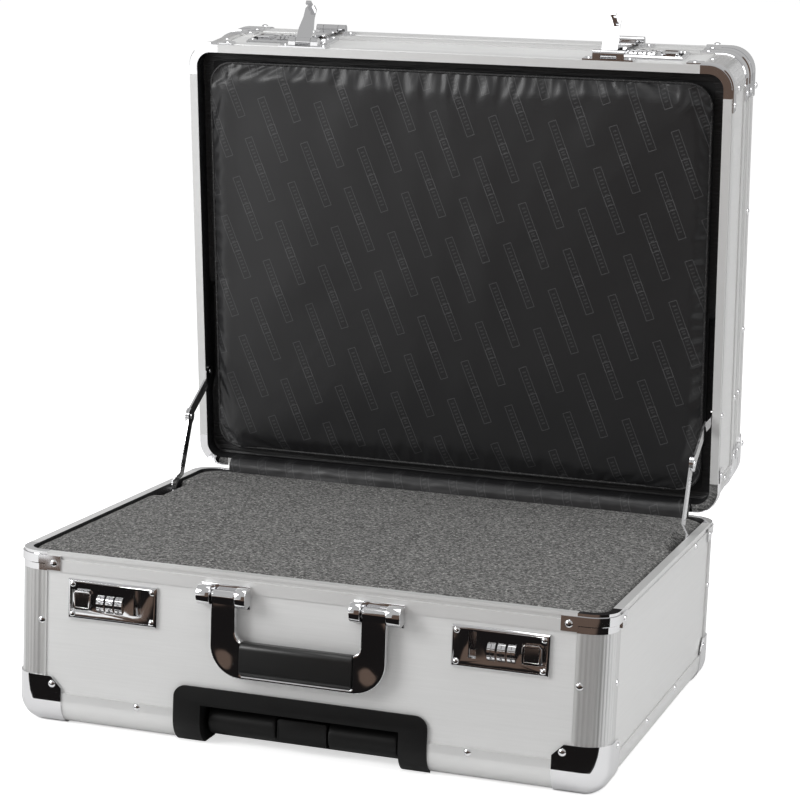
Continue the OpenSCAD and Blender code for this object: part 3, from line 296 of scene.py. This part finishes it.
# Wheels: hard rubber moulded on a plastic hub, each turning on a steel axle at the rear of
# the base.
tyre = Finish("hard_rubber", (0.022, 0.022, 0.022), 0.62)
tyre.set(Roughness=0.5 + 0.2 * tyre.noise(0.004, 3))
tyre.bump(tyre.noise(0.0009, 2), 0.00006)
tyre.paint("wheel_left", "wheel_right")

# Carrying grip: soft black vinyl moulded over the bar of the bow, smooth and a little
# glossy.
vinyl = Finish("soft_vinyl", (0.012, 0.012, 0.012), 0.33)
vinyl.set(Roughness=0.27 + 0.12 * vinyl.noise(0.008, 3))
vinyl.bump(vinyl.noise(0.0006, 2), 0.00004)
vinyl.paint("handle_grip")

# Foam: a block of dark grey open-cell foam, sawn to size with rooms below for the trolley,
# wheels and locks. Its edges have crumbled round; its colour is mottled by the cells, and the
# pale specks in it are painted glints of light on the cell walls.
def merged_copy(node, name):
    """A node's mesh as a piece of its own, with its loose triangles joined up."""
    piece = bpy.data.objects.new(name, nodes[node].data.copy())
    bpy.context.scene.collection.objects.link(piece)
    piece.data.materials.clear()
    shape = bmesh.new()
    shape.from_mesh(piece.data)
    bmesh.ops.remove_doubles(shape, verts=shape.verts, dist=2e-6)
    shape.to_mesh(piece.data)
    shape.free()
    return piece


def pick(piece):
    """Selects one piece alone, because an operator acts on all that is selected."""
    bpy.ops.object.select_all(action="DESELECT")
    bpy.context.view_layer.objects.active = piece
    piece.select_set(True)


def finish_with(piece, kind, **settings):
    """Adds one modifier and applies it."""
    pick(piece)
    modifier = piece.modifiers.new(kind.lower(), kind)
    for key, value in settings.items():
        setattr(modifier, key, value)
    bpy.ops.object.modifier_apply(modifier=modifier.name)


def smoothed(piece, angle=None):
    """Shades a piece smooth, all over or only across edges flatter than angle."""
    pick(piece)
    if angle is None:
        bpy.ops.object.shade_smooth()
    else:
        bpy.ops.object.shade_smooth_by_angle(angle=math.radians(angle))


foam = merged_copy("foam_block", "foam_insert")
finish_with(foam, "REMESH", mode="VOXEL", voxel_size=0.0035)
finish_with(foam, "SMOOTH", factor=0.5, iterations=2)
foam_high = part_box("foam_block")[1]
wall_faces = (0.2324, 0.1864)
crown, oversize = 0.0035, 0.0030
crown_band, crown_rise, wall_band = 0.012, 0.009, 0.006
stays_from_y, stays_to_y, stays_from_x = 0.052, 0.126, 0.2205
for vert in foam.data.vertices:
    place = vert.co
    if place.z > foam_high[2] - crown_band:
        # The block is a touch oversize: it bears on the walls and crowns at the mouth
        upward = min(1, (place.z - foam_high[2] + crown_band) / crown_rise)
        if stays_from_y < place.y < stays_to_y:
            # The folded stays' lower links need this room
            upward *= 1 - min(1, max(0, (abs(place.x) - stays_from_x) / 0.002))
        for axis in (0, 1):
            near_wall = max(0, 1 - (foam_high[axis] - abs(place[axis])) / wall_band)
            reach = min(abs(place[axis]) + oversize * upward * near_wall, wall_faces[axis])
            place[axis] = math.copysign(reach, place[axis])
        soft = noise.noise(place * 22) + 0.5 * noise.noise(place * 60)
        place.z += crown * upward + 0.0004 * soft
smoothed(foam)
foam_finish = Finish("open_cell_foam", (0.13, 0.13, 0.127), 0.95)
cells = foam_finish.noise(0.0021, 3, 0.75)
# Painted glints: pale specks of light painted into the foam's colour, over the cells' own mottling
painted_glints = foam_finish.noise(0.0029, 2, 0.6)
body_tone = foam_finish.ramp(cells, (0.38, (0.028, 0.028, 0.027)), (0.5, (0.105, 0.104, 0.102)),
                             (0.62, (0.27, 0.268, 0.26)))
painted_glint_mask = foam_finish.ramp(painted_glints, (0.60, (0, 0, 0)), (0.68, (1, 1, 1)))
cells_and_painted_glints = foam_finish.between(painted_glint_mask, body_tone, (0.42, 0.415, 0.40))
foam_finish.set(**{"Base Color": cells_and_painted_glints})
foam_finish.bump(cells, 0.0006)
foam_finish.paint("foam_insert")
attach(foam, "base")
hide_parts("foam_block")

# Handle bow: cast zinc, its edges tumbled round before plating; the plating follows the
# slight sink marks of the casting, so that reflections swirl on it.
handle_bow = merged_copy("handle_bow", "bow_casting")
finish_with(handle_bow, "REMESH", mode="VOXEL", voxel_size=0.0007)
finish_with(handle_bow, "SMOOTH", factor=0.5, iterations=7)
bow_low, bow_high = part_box("handle_bow")
grip_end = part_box("handle_grip")[1][0]
dish_x, dish_z, dish_depth = 0.057, 0.086, 0.0017
dish_half_w, dish_half_h = 0.012, 0.019
for vert in handle_bow.data.vertices:
    place = vert.co
    out_x = abs(place.x)
    front = (bow_low[1] + 0.0035) - place.y
    if front > -0.001 and out_x > grip_end + 0.001 and place.z < bow_high[2] - 0.009:
        # Dished where the arm turns in to the bar
        off_x, off_z = (out_x - dish_x) / dish_half_w, (place.z - dish_z) / dish_half_h
        place.y += dish_depth * math.exp(-(off_x ** 2 + off_z ** 2))
    place.y += 0.00006 * noise.noise(place * 60)
smoothed(handle_bow)
chrome.paint("bow_casting")
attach(handle_bow, "handle")
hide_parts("handle_bow")


# Small castings, buttons and mouldings: their outer edges are broken, as tooling leaves
# them, and the broken edge catches the light.
def eased(node, body, width, chosen=None):
    """Stands in for a CAD node, with its sharp convex edges rounded where chosen says so."""
    piece = merged_copy(node, node + "_finished")
    shape = bmesh.new()
    shape.from_mesh(piece.data)
    bmesh.ops.dissolve_limit(shape, angle_limit=math.radians(1), verts=shape.verts,
                             edges=shape.edges)
    sharp = [edge for edge in shape.edges
             if edge.is_manifold and edge.is_convex and edge.calc_face_angle() > math.radians(40)
             and (chosen is None or all(chosen(vert.co) for vert in edge.verts))]
    bmesh.ops.bevel(shape, geom=sharp, offset=width, offset_type="OFFSET", segments=3, profile=0.5,
                    affect="EDGES", clamp_overlap=True)
    shape.to_mesh(piece.data)
    shape.free()
    smoothed(piece, 35)
    piece.data.materials.append(nodes[node].data.materials[0])
    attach(piece, body)
    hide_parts(node)
    return piece


bezel_lip, wall_face = -0.1855, -0.1935
eased("handle_grip", "handle", 0.0012)
eased("trolley_bezel", "base", 0.0012, lambda at: at.y < bezel_lip)
for side in ("left", "right"):
    eased("base_button_" + side, "base_button_" + side, 0.0006, lambda at: at.y < wall_face)
eased("base_locks", "base", 0.0005, lambda at: at.y < wall_face)

# Pull grip: a moulded bar with full round edges, pushed over the ends of the inner tubes;
# the button sits in its window.
pull_grip = merged_copy("trolley_grip", "pull_grip")
finish_with(pull_grip, "REMESH", mode="VOXEL", voxel_size=0.0011)
finish_with(pull_grip, "SMOOTH", factor=0.5, iterations=9)
grip_button = eased("trolley_button", "trolley_button", 0.0009)
button_low, button_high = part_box("trolley_button")
button_half = (button_high[2] - button_low[2]) / 2
button_middle = (button_high[2] + button_low[2]) / 2
window_room = 0.0008
for vert in grip_button.data.vertices:
    # Room all round for the grip's softened window
    vert.co.x *= 1 - window_room / button_high[0]
    vert.co.z = button_middle + (vert.co.z - button_middle) * (1 - window_room / button_half)
pull_low, pull_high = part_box("trolley_grip")
pull_middle, pull_half = (pull_low[2] + pull_high[2]) / 2, (pull_high[2] - pull_low[2]) / 2
barrel, barrel_depth = 0.0062, 0.022
for shaped in (pull_grip, grip_button):
    for vert in shaped.data.vertices:
        # The face is barrelled, so that light rolls over its upper half
        rise = (vert.co.z - pull_middle) / pull_half
        depth = max(0, 1 - (vert.co.y - pull_low[1]) / barrel_depth)
        vert.co.y += barrel * rise * rise * depth
smoothed(pull_grip)
moulded.paint("pull_grip")
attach(pull_grip, "trolley_handle")
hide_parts("trolley_grip")

# Handle brackets: cast lugs on a plate, fixed to the front of the base, that hold the pins
# of the bow. The lugs are drawn a little fuller than in the CAD.
brackets = eased("handle_brackets", "base", 0.0006)
pivot_y, pivot_z = -0.20075, 0.123
plate_back, plate_front = -0.1938, -0.1962
plate_top, plate_cut = 0.0095, 0.0030
fuller_high, fuller_deep = 1.22, 1.15
for vert in brackets.data.vertices:
    place = vert.co
    if place.z > pivot_z + plate_top and place.y < plate_back:
        place.z -= plate_cut
    if place.y < plate_front:
        place.z = pivot_z + (place.z - pivot_z) * fuller_high
        place.y = min(place.y, pivot_y + (place.y - pivot_y) * fuller_deep)

# Dial figures: ten plain digits pressed into each dial and filled black, one ring modelled
# and copied to all twelve dials.
dial_radius, digit_size, digit_depth = 0.008, 0.0040, 0.00012
digit_shapes = []
for digit in range(10):
    bpy.ops.object.select_all(action="DESELECT")
    bpy.ops.object.text_add(location=(0, 0, 0))
    figure = bpy.context.object
    figure.data.body = str(digit)
    figure.data.size = digit_size
    figure.data.align_x, figure.data.align_y = "CENTER", "CENTER"
    figure.data.extrude = digit_depth
    bpy.ops.object.convert(target="MESH")
    figure = bpy.context.object
    corners = figure.data.vertices
    middle_x = sum(v.co.x for v in corners) / len(corners)
    middle_y = sum(v.co.y for v in corners) / len(corners)
    digit_shapes.append(([v.co - Vector((middle_x, middle_y, 0)) for v in corners],
                         [tuple(face.vertices) for face in figure.data.polygons]))
    bpy.data.objects.remove(figure)
filling = Finish("black_filling", (0.01, 0.01, 0.01), 0.5)
filling.set(Roughness=0.45 + 0.15 * filling.noise(0.002, 2))
for node in [name for name in nodes if "dial" in name]:
    low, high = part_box(node)
    at_dial = Vector([(low[axis] + high[axis]) / 2 for axis in range(3)])
    facing = lid_turn if node.startswith("lid") else Matrix.Identity(4)
    points, faces = [], []
    for digit, (outline, polygons) in enumerate(digit_shapes):
        start = len(points)
        for spot in outline:
            reach = dial_radius + 0.00002 + spot.z
            turn = spot.y / dial_radius + math.radians(36 * digit)
            points.append((spot.x, -reach * math.cos(turn), reach * math.sin(turn)))
        faces += [tuple(start + k for k in face) for face in polygons]
    ring_shape = bpy.data.meshes.new(node + "_figures")
    ring = bpy.data.objects.new(node.replace("dial", "figures"), ring_shape)
    ring.data.from_pydata(points, [], faces)
    ring.data.transform(Matrix.Translation(at_dial) @ facing)
    bpy.context.scene.collection.objects.link(ring)
    ring.data.materials.append(filling.material)
    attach(ring, node)

# Lid lining: black satin over a wadding pad, cut larger than its board and gathered into a
# corded seam all round, so that it puckers at the edge and lies in soft waves inside.
def round_loop(width, depth, radius, counts=(180, 140, 15)):
    """Points round a rounded rectangle, each with its outward direction. counts are the
    steps along a wide side, a deep side and a corner."""
    wide, deep = width / 2 - radius, depth / 2 - radius
    points = []
    for side, (x, y) in enumerate(((wide, -deep), (wide, deep), (-wide, deep), (-wide, -deep))):
        heading = math.pi / 2 * side
        straight, steps = 2 * (deep if side % 2 else wide), counts[side % 2]
        along = [(straight * (1 - k / steps), heading - math.pi / 2) for k in range(steps)]
        bend = [(0, heading - math.pi / 2 * (1 - k / counts[2])) for k in range(counts[2])]
        for back, out in along + bend:
            points.append((x + radius * math.cos(out) - back * math.cos(heading),
                           y + radius * math.sin(out) - back * math.sin(heading),
                           math.cos(out), math.sin(out)))
    return points


def ring_mesh(name, rings, closed=True):
    """A surface through rings of points; the quads face up where the rings narrow."""
    shape = bmesh.new()
    rows = [[shape.verts.new(point) for point in ring] for ring in rings]
    for low, high in zip(rows, rows[1:]):
        count = len(low)
        for k in range(count if closed else count - 1):
            shape.faces.new((low[k], low[(k + 1) % count], high[(k + 1) % count], high[k]))
    piece = bpy.data.objects.new(name, bpy.data.meshes.new(name))
    shape.to_mesh(piece.data)
    shape.free()
    bpy.context.scene.collection.objects.link(piece)
    return piece


# Everything in the lid is drawn as if the lid were shut, then turned up by the hinge.
mouth, board = 0.1408, 0.1565
pad_w, pad_d, pad_corner, pad_thick = 0.447, 0.355, 0.020, 0.013


def edge_distance(x, y):
    """How far inside the pad's outline a point is, and its place along that outline."""
    over_x, over_y = abs(x) - (pad_w / 2 - pad_corner), abs(y) - (pad_d / 2 - pad_corner)
    if over_x > 0 and over_y > 0:
        turn = math.atan2(over_y, over_x)
        return pad_corner - math.hypot(over_x, over_y), pad_d / 2 - pad_corner + pad_corner * turn
    if over_x > over_y:
        return pad_corner - over_x, abs(y)
    return pad_corner - over_y, pad_d / 2 + pad_w / 2 - 0.43 * pad_corner - abs(x)


def pad_height(inset):
    swell = math.sqrt(1 - (1 - min(inset / 0.014, 1)) ** 2)
    return pad_thick * (0.6 + 0.28 * swell + 0.12 * min(inset / 0.09, 1))


def closed_up(piece, gap):
    """Joins points that are nearer than gap, and turns the faces outwards."""
    pick(piece)
    bpy.ops.object.mode_set(mode="EDIT")
    bpy.ops.mesh.select_all(action="SELECT")
    bpy.ops.mesh.remove_doubles(threshold=gap)
    bpy.ops.mesh.normals_make_consistent(inside=False)
    bpy.ops.object.mode_set(mode="OBJECT")


# Rings run from under the pad round its edge and up to its middle, which is a short line
insets_mm = (0, 0.8, 1.8, 3, 4.4, 6, 8, 10, 12.5, 15.5, 19, 24, 30, 38, 48, 60, 74, 90, 108, 126,
             144, 160)
sections = [(0.1, 0), (0.0015, 0), (0.0006, 0.3 * pad_thick)]
sections += [(inset / 1000, pad_height(inset / 1000)) for inset in insets_mm]
rings = []
for inset, up in sections:
    loop = round_loop(pad_w - 2 * inset, pad_d - 2 * inset, max(pad_corner - inset, 0.004))
    rings.append([(x, y, board - up) for x, y, _, _ in loop])
middle = pad_w / 2 - pad_d / 2
for end, up in ((0, 0), (len(rings) + 1, pad_height(0.17))):
    rings.insert(end, [(max(-middle, min(middle, x)), 0, board - up) for x, y, _ in rings[end - 1]])
lining = ring_mesh("lining_cushion", rings[::-1])
closed_up(lining, 0.0004)
most_swell = 0.0022
held = lining.vertex_groups.new(name="held")
held.add([v.index for v in lining.data.vertices
          if edge_distance(v.co.x, v.co.y)[0] < 0.0006 or v.co.z > board - 0.004],
         1, "REPLACE")
cloth = lining.modifiers.new("cloth", "CLOTH")
cloth.settings.vertex_group_mass = "held"
cloth.settings.use_pressure = True
cloth.settings.uniform_pressure_force = 3
cloth.settings.shrink_min = -0.012
cloth.settings.effector_weights.gravity = 0
cloth.settings.mass = 0.25
cloth.point_cache.frame_end = 20
for frame_number in range(1, 21):
    bpy.context.scene.frame_set(frame_number)
puffed = lining.evaluated_get(bpy.context.evaluated_depsgraph_get())
moved = [v.co.copy() for v in puffed.data.vertices]
lining.modifiers.remove(cloth)
bpy.context.scene.frame_set(1)
for vert, goal in zip(lining.data.vertices, moved):
    step = goal - vert.co
    if step.length > most_swell:
        step *= most_swell / step.length
    vert.co += step
pucker_height, wave_height = 0.0010, 0.0011
for vert in lining.data.vertices:
    x, y = vert.co.x, vert.co.y
    inset, along = edge_distance(x, y)
    if vert.co.z < board - 0.55 * pad_thick and inset > -0.001:
        spin = 4 * math.atan2(y, x)
        reach = 0.010 + 0.007 * noise.noise((along * 120, spin, 3))
        fade = max(0, 1 - inset / reach) ** 1.2 * min(1, 0.3 + inset / 0.002)
        pucker = (noise.noise((along * 330, inset * 40, spin))
                  + 0.6 * noise.noise((along * 720, inset * 60, spin)))
        wave = noise.noise((x * 17, y * 13, 5)) + 0.4 * noise.noise((x * 45, y * 31, 9))
        vert.co.z -= pucker_height * fade * pucker + wave_height * wave * min(1, inset / 0.03)
lining.data.transform(lid_up)
smoothed(lining)

satin = Finish("black_satin", (0.016, 0.016, 0.017), 0.36)
across, down, _ = shut_place(satin, True)
# Woven-in motif: staggered, tilted bars with a ladder inside, tone on tone. The bars repeat
# by two steps, (52.5, 1.5) and (-12.6, 36.1) mm, and lean by 21 degrees.
first = across * 18.86 + down * 6.582 + 0.21
second = down * 27.43 - across * 0.7836 + 0.37
lean_cos, lean_sin = 0.934, 0.358
bar_long, bar_short, line = 0.0172, 0.0037, 0.0006
ladder_long, ladder_short, rung_rate = 0.0135, 0.0016, 1900
bars = 0
for shift_1, shift_2 in ((0, 0), (0.33, 0.64)):
    cell_1 = (first + shift_1).fraction() - 0.5
    cell_2 = (second + shift_2).fraction() - 0.5
    place_x = cell_1 * 0.0525 - cell_2 * 0.0126
    place_y = cell_1 * 0.0015 + cell_2 * 0.0361
    along_bar = place_y * lean_cos + place_x * lean_sin
    long_way = abs(along_bar)
    short_way = abs(place_x * lean_cos - place_y * lean_sin)
    outline = ((long_way < bar_long) * (short_way < bar_short)
               - (long_way < bar_long - line) * (short_way < bar_short - line))
    rungs = (along_bar * rung_rate).sine() > 0.35
    ladder = rungs * (long_way < ladder_long) * (short_way < ladder_short) * 0.6
    bars = outline + ladder + bars
thread = satin.noise(0.0009, 2)
tone = satin.noise(0.12, 2)
woven = bars * (0.55 + 0.45 * thread)
satin.set(**{"Base Color": satin.between(woven, (0.0145, 0.0145, 0.0155), (0.062, 0.062, 0.064)),
             "Roughness": 0.3 + 0.12 * tone + 0.06 * thread})
satin.bump(satin.noise(0.0006, 2, 0.5, (0.25, 1, 1)) + 0.8 * bars, 0.00004)
satin.paint("lining_cushion")
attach(lining, "lid")
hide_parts("lining_pad")

# Seam cord: a thin cord sewn into the pad's edge, covered in the same satin; pale threads of
# the gathered seam allowance fray out along it.
cord_loop = round_loop(pad_w - 0.0018, pad_d - 0.0006, pad_corner, (250, 200, 16))
cord_radius, cord_level = 0.0013, board - 0.6 * pad_thick - 0.0003
seam_rings = []
for part in range(8):
    about = part * math.pi / 4
    ring = []
    for x, y, out_x, out_y in cord_loop:
        thick = (cord_radius + 0.0003 * noise.noise((x * 260, y * 260, 0))
                 + 0.0002 * noise.noise((x * 700, y * 700, 4)))
        side, up = thick * math.cos(about), thick * math.sin(about)
        ring.append((x + out_x * side, y + out_y * side, cord_level - up))
    seam_rings.append(ring)
seam = ring_mesh("lining_seam", seam_rings + seam_rings[:1])
closed_up(seam, 0.00001)
seam.data.transform(lid_up)
smoothed(seam)
binding = Finish("frayed_binding", (0.012, 0.012, 0.013), 0.5)
fray = binding.noise(0.0011, 3, 0.8)
fray_mask = binding.ramp(fray, (0.56, (0, 0, 0)), (0.66, (1, 1, 1)))
frayed = binding.between(fray_mask, (0.012, 0.012, 0.013), (0.12, 0.118, 0.112))
binding.set(**{"Base Color": frayed})
binding.bump(fray, 0.0003)
binding.paint("lining_seam")
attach(seam, "lid")

# Wall linings: black cloth glued to the inner walls of lid and base, up to the rims' edges.
# The lid's turns in over the divider board and tucks under the pad.
wall_w, wall_d, wall_corner, wall_girth = 0.466, 0.374, 0.013, 1.6
pocket_y, pocket_half, pocket_ramp, pocket_mm = 0.073, 0.05, 0.008, 7.6


def wall_cloth(name, profile, level, place, body, pocket=False):
    """profile is (distance from the wall, distance from the mouth) in millimetres. A pocket
    is where the cloth sinks deeper, to leave room for a folded stay."""
    walls = round_loop(wall_w, wall_d, wall_corner, (90, 90, 12))
    rows = []
    for inset, reach in profile:
        row = []
        for x, y, out_x, out_y in walls:
            sink = reach
            if pocket and reach > 15 and abs(x) > 0.2:
                sink += pocket_mm * min(1, max(0, (pocket_half - abs(y - pocket_y)) / pocket_ramp))
            row.append((x - out_x * inset / 1000, y - out_y * inset / 1000, level(sink / 1000)))
        rows.append(row)
    cloth = ring_mesh(name, rows)
    cloth.data.transform(place)
    smoothed(cloth)
    size = sum(face.area for face in cloth.data.polygons)
    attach(cloth, body)
    size / wall_girth


wall_cloth("lid_wall_cloth",
           [(0.15, 0.2), (0.15, 4), (0.18, 8), (0.15, 12), (0.15, 14.8), (0.5, 15.4),
            (1.3, 15.7), (3.5, 15.75), (6.5, 15.75), (9.6, 15.75)],
           lambda reach: mouth + reach, lid_up, "lid", pocket=True)
wall_cloth("base_wall_cloth", [(0.15, 13.5), (0.15, 9), (0.18, 5), (0.15, 0.2)],
           lambda reach: 0.140 - reach, Matrix.Identity(4), "base")
drape = Finish("glued_cloth", (0.011, 0.011, 0.012), 0.42)
folds = drape.noise(0.0024, 3, 0.6, (0.04, 1, 1))
drape.set(Roughness=0.3 + 0.25 * folds)
drape.bump(folds, 0.0012)
drape.paint("lid_wall_cloth", "base_wall_cloth")

# Hinge cloth: a strip of the same satin glued to both back rims, hiding the hinges.
ends = (-0.209, 0.217)
section = [(0.1866, 0.1275), (0.1864, 0.1320), (0.1858, 0.1350), (0.1862, 0.1385),
           (0.1868, 0.1415), (0.1870, 0.1440), (0.1882, 0.1465), (0.1905, 0.1492),
           (0.1932, 0.1508), (0.1960, 0.1506), (0.1990, 0.1512), (0.2020, 0.1514),
           (0.2048, 0.1516)]
columns, end_band = 180, 0.010
rows = []
for step, (y, z) in enumerate(section):
    row = []
    for k in range(columns + 1):
        x = ends[0] + (ends[1] - ends[0]) * k / columns
        near_end = max(0, 1 - min(x - ends[0], ends[1] - x) / end_band)
        ripple = noise.noise((x * 26, step * 0.35, 1)) + 0.5 * noise.noise((x * 90, step * 0.6, 2))
        crumple = near_end * noise.noise((x * 420, step * 0.9, 7))
        loose = math.sin(math.pi * step / (len(section) - 1))
        row.append((x, y - 0.0007 * loose * ripple - 0.0008 * abs(crumple),
                    z + 0.0005 * loose * ripple + 0.0006 * crumple * loose))
    rows.append(row)
strip = ring_mesh("hinge_cloth", rows[::-1], closed=False)
finish_with(strip, "SUBSURF", levels=1, render_levels=1)
smoothed(strip)
size = sum(face.area for face in strip.data.polygons)
satin.paint("hinge_cloth")
size / (ends[1] - ends[0])
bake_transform(strip)

# Floor and studio: a pale floor, three dark cards that only reflections show, a plain world,
# and a large soft lamp high on the left, a weaker one on the right and one overhead.
bpy.ops.object.select_all(action="DESELECT")
bpy.ops.mesh.primitive_plane_add(size=120)
floor = bpy.context.object
floor.name = "floor"
paper = Finish("pale_paper", (0.82, 0.82, 0.82), 0.9)
seen = paper.node("LightPath", out="Is Camera Ray")
paper.set(**{"Emission Color": (1, 1, 1, 1), "Specular IOR Level": 0.0})
glow = paper.node("Emission", sockets={"Color": (1, 1, 1, 1), "Strength": seen * 0.62})
both = paper.node("AddShader", sockets={0: Tap(paper, paper.shader.outputs[0]), 1: glow})
paper.plug(paper.tree.nodes["Material Output"].inputs["Surface"], both)
floor.data.materials.append(paper.material)

# One card lies and two stand round the case, and only reflections see them. They are black
# near the case and behind it, and glow brown further out in front.
for card_size, card_place, card_turn in (
        ((2.5, 1.5), (0.8, -0.985, 0.004), (0, 0)),
        ((2.5, 0.9), (0.8, -1.75, 0.45), (90, 0)),
        ((0.5, 1.0), (-1.5, 0.8, 0.5), (90, 60))):
    bpy.ops.object.select_all(action="DESELECT")
    bpy.ops.mesh.primitive_plane_add(size=1)
    card = bpy.context.object
    card.name = "dark_card"
    stood, swung = (math.radians(angle) for angle in card_turn)
    card.data.transform(Matrix.Translation(card_place) @ Matrix.Rotation(swung, 4, "Z")
                        @ Matrix.Rotation(stood, 4, "X") @ Matrix.Diagonal((*card_size, 1, 1)))
    flag = Finish("flag_cloth", (0.0, 0.0, 0.0), 0.9, Specular_IOR_Level=0.0)
    flag_y = flag.axes(flag.place())[1]
    shade = flag.ramp((flag_y + 1.1 + 0.05 * flag.noise(0.3, 1)) / 1.1,
                      (0.45, (0.125, 0.088, 0.070)), (0.49, (0.010, 0.009, 0.009)))
    flag.set(**{"Emission Color": shade, "Emission Strength": 1.0})
    card.data.materials.append(flag.material)
    card.visible_camera = card.visible_diffuse = card.visible_shadow = False
    card.visible_transmission = card.visible_volume_scatter = False

# The world is white to the camera and through clear pieces, and half as bright to all else
world = bpy.data.worlds.new("studio")
world.use_nodes = True
bpy.context.scene.world = world
sky = world.node_tree
air = sky.nodes["Background"]
ray = sky.nodes.new("ShaderNodeLightPath")
seen_through = sky.nodes.new("ShaderNodeMath")
seen_through.operation = "MAXIMUM"
sky.links.new(ray.outputs["Is Camera Ray"], seen_through.inputs[0])
sky.links.new(ray.outputs["Is Transmission Ray"], seen_through.inputs[1])
level = sky.nodes.new("ShaderNodeMapRange")
level.inputs["To Min"].default_value = 0.5
level.inputs["To Max"].default_value = 1.0
sky.links.new(seen_through.outputs[0], level.inputs["Value"])
sky.links.new(level.outputs["Result"], air.inputs["Strength"])
air.inputs["Color"].default_value = (1, 1, 1, 1)

for name, place, aim, size, power in (
        ("key_lamp", (-1.7, -1.6, 1.3), (-0.15, 0.0, 0.2), 1.2, 36),
        ("side_lamp", (2.3, 0.1, 1.0), (0.2, 0.0, 0.2), 1.0, 14),
        ("top_lamp", (0.2, -0.3, 2.4), (0.0, 0.1, 0.1), 1.4, 16)):
    lamp = bpy.data.objects.new(name, bpy.data.lights.new(name, "AREA"))
    bpy.context.scene.collection.objects.link(lamp)
    lamp.data.shape = "SQUARE"
    lamp.data.size = size
    lamp.data.energy = power
    lamp.location = place
    lamp.rotation_euler = (Vector(aim) - Vector(place)).to_track_quat("-Z", "Y").to_euler()
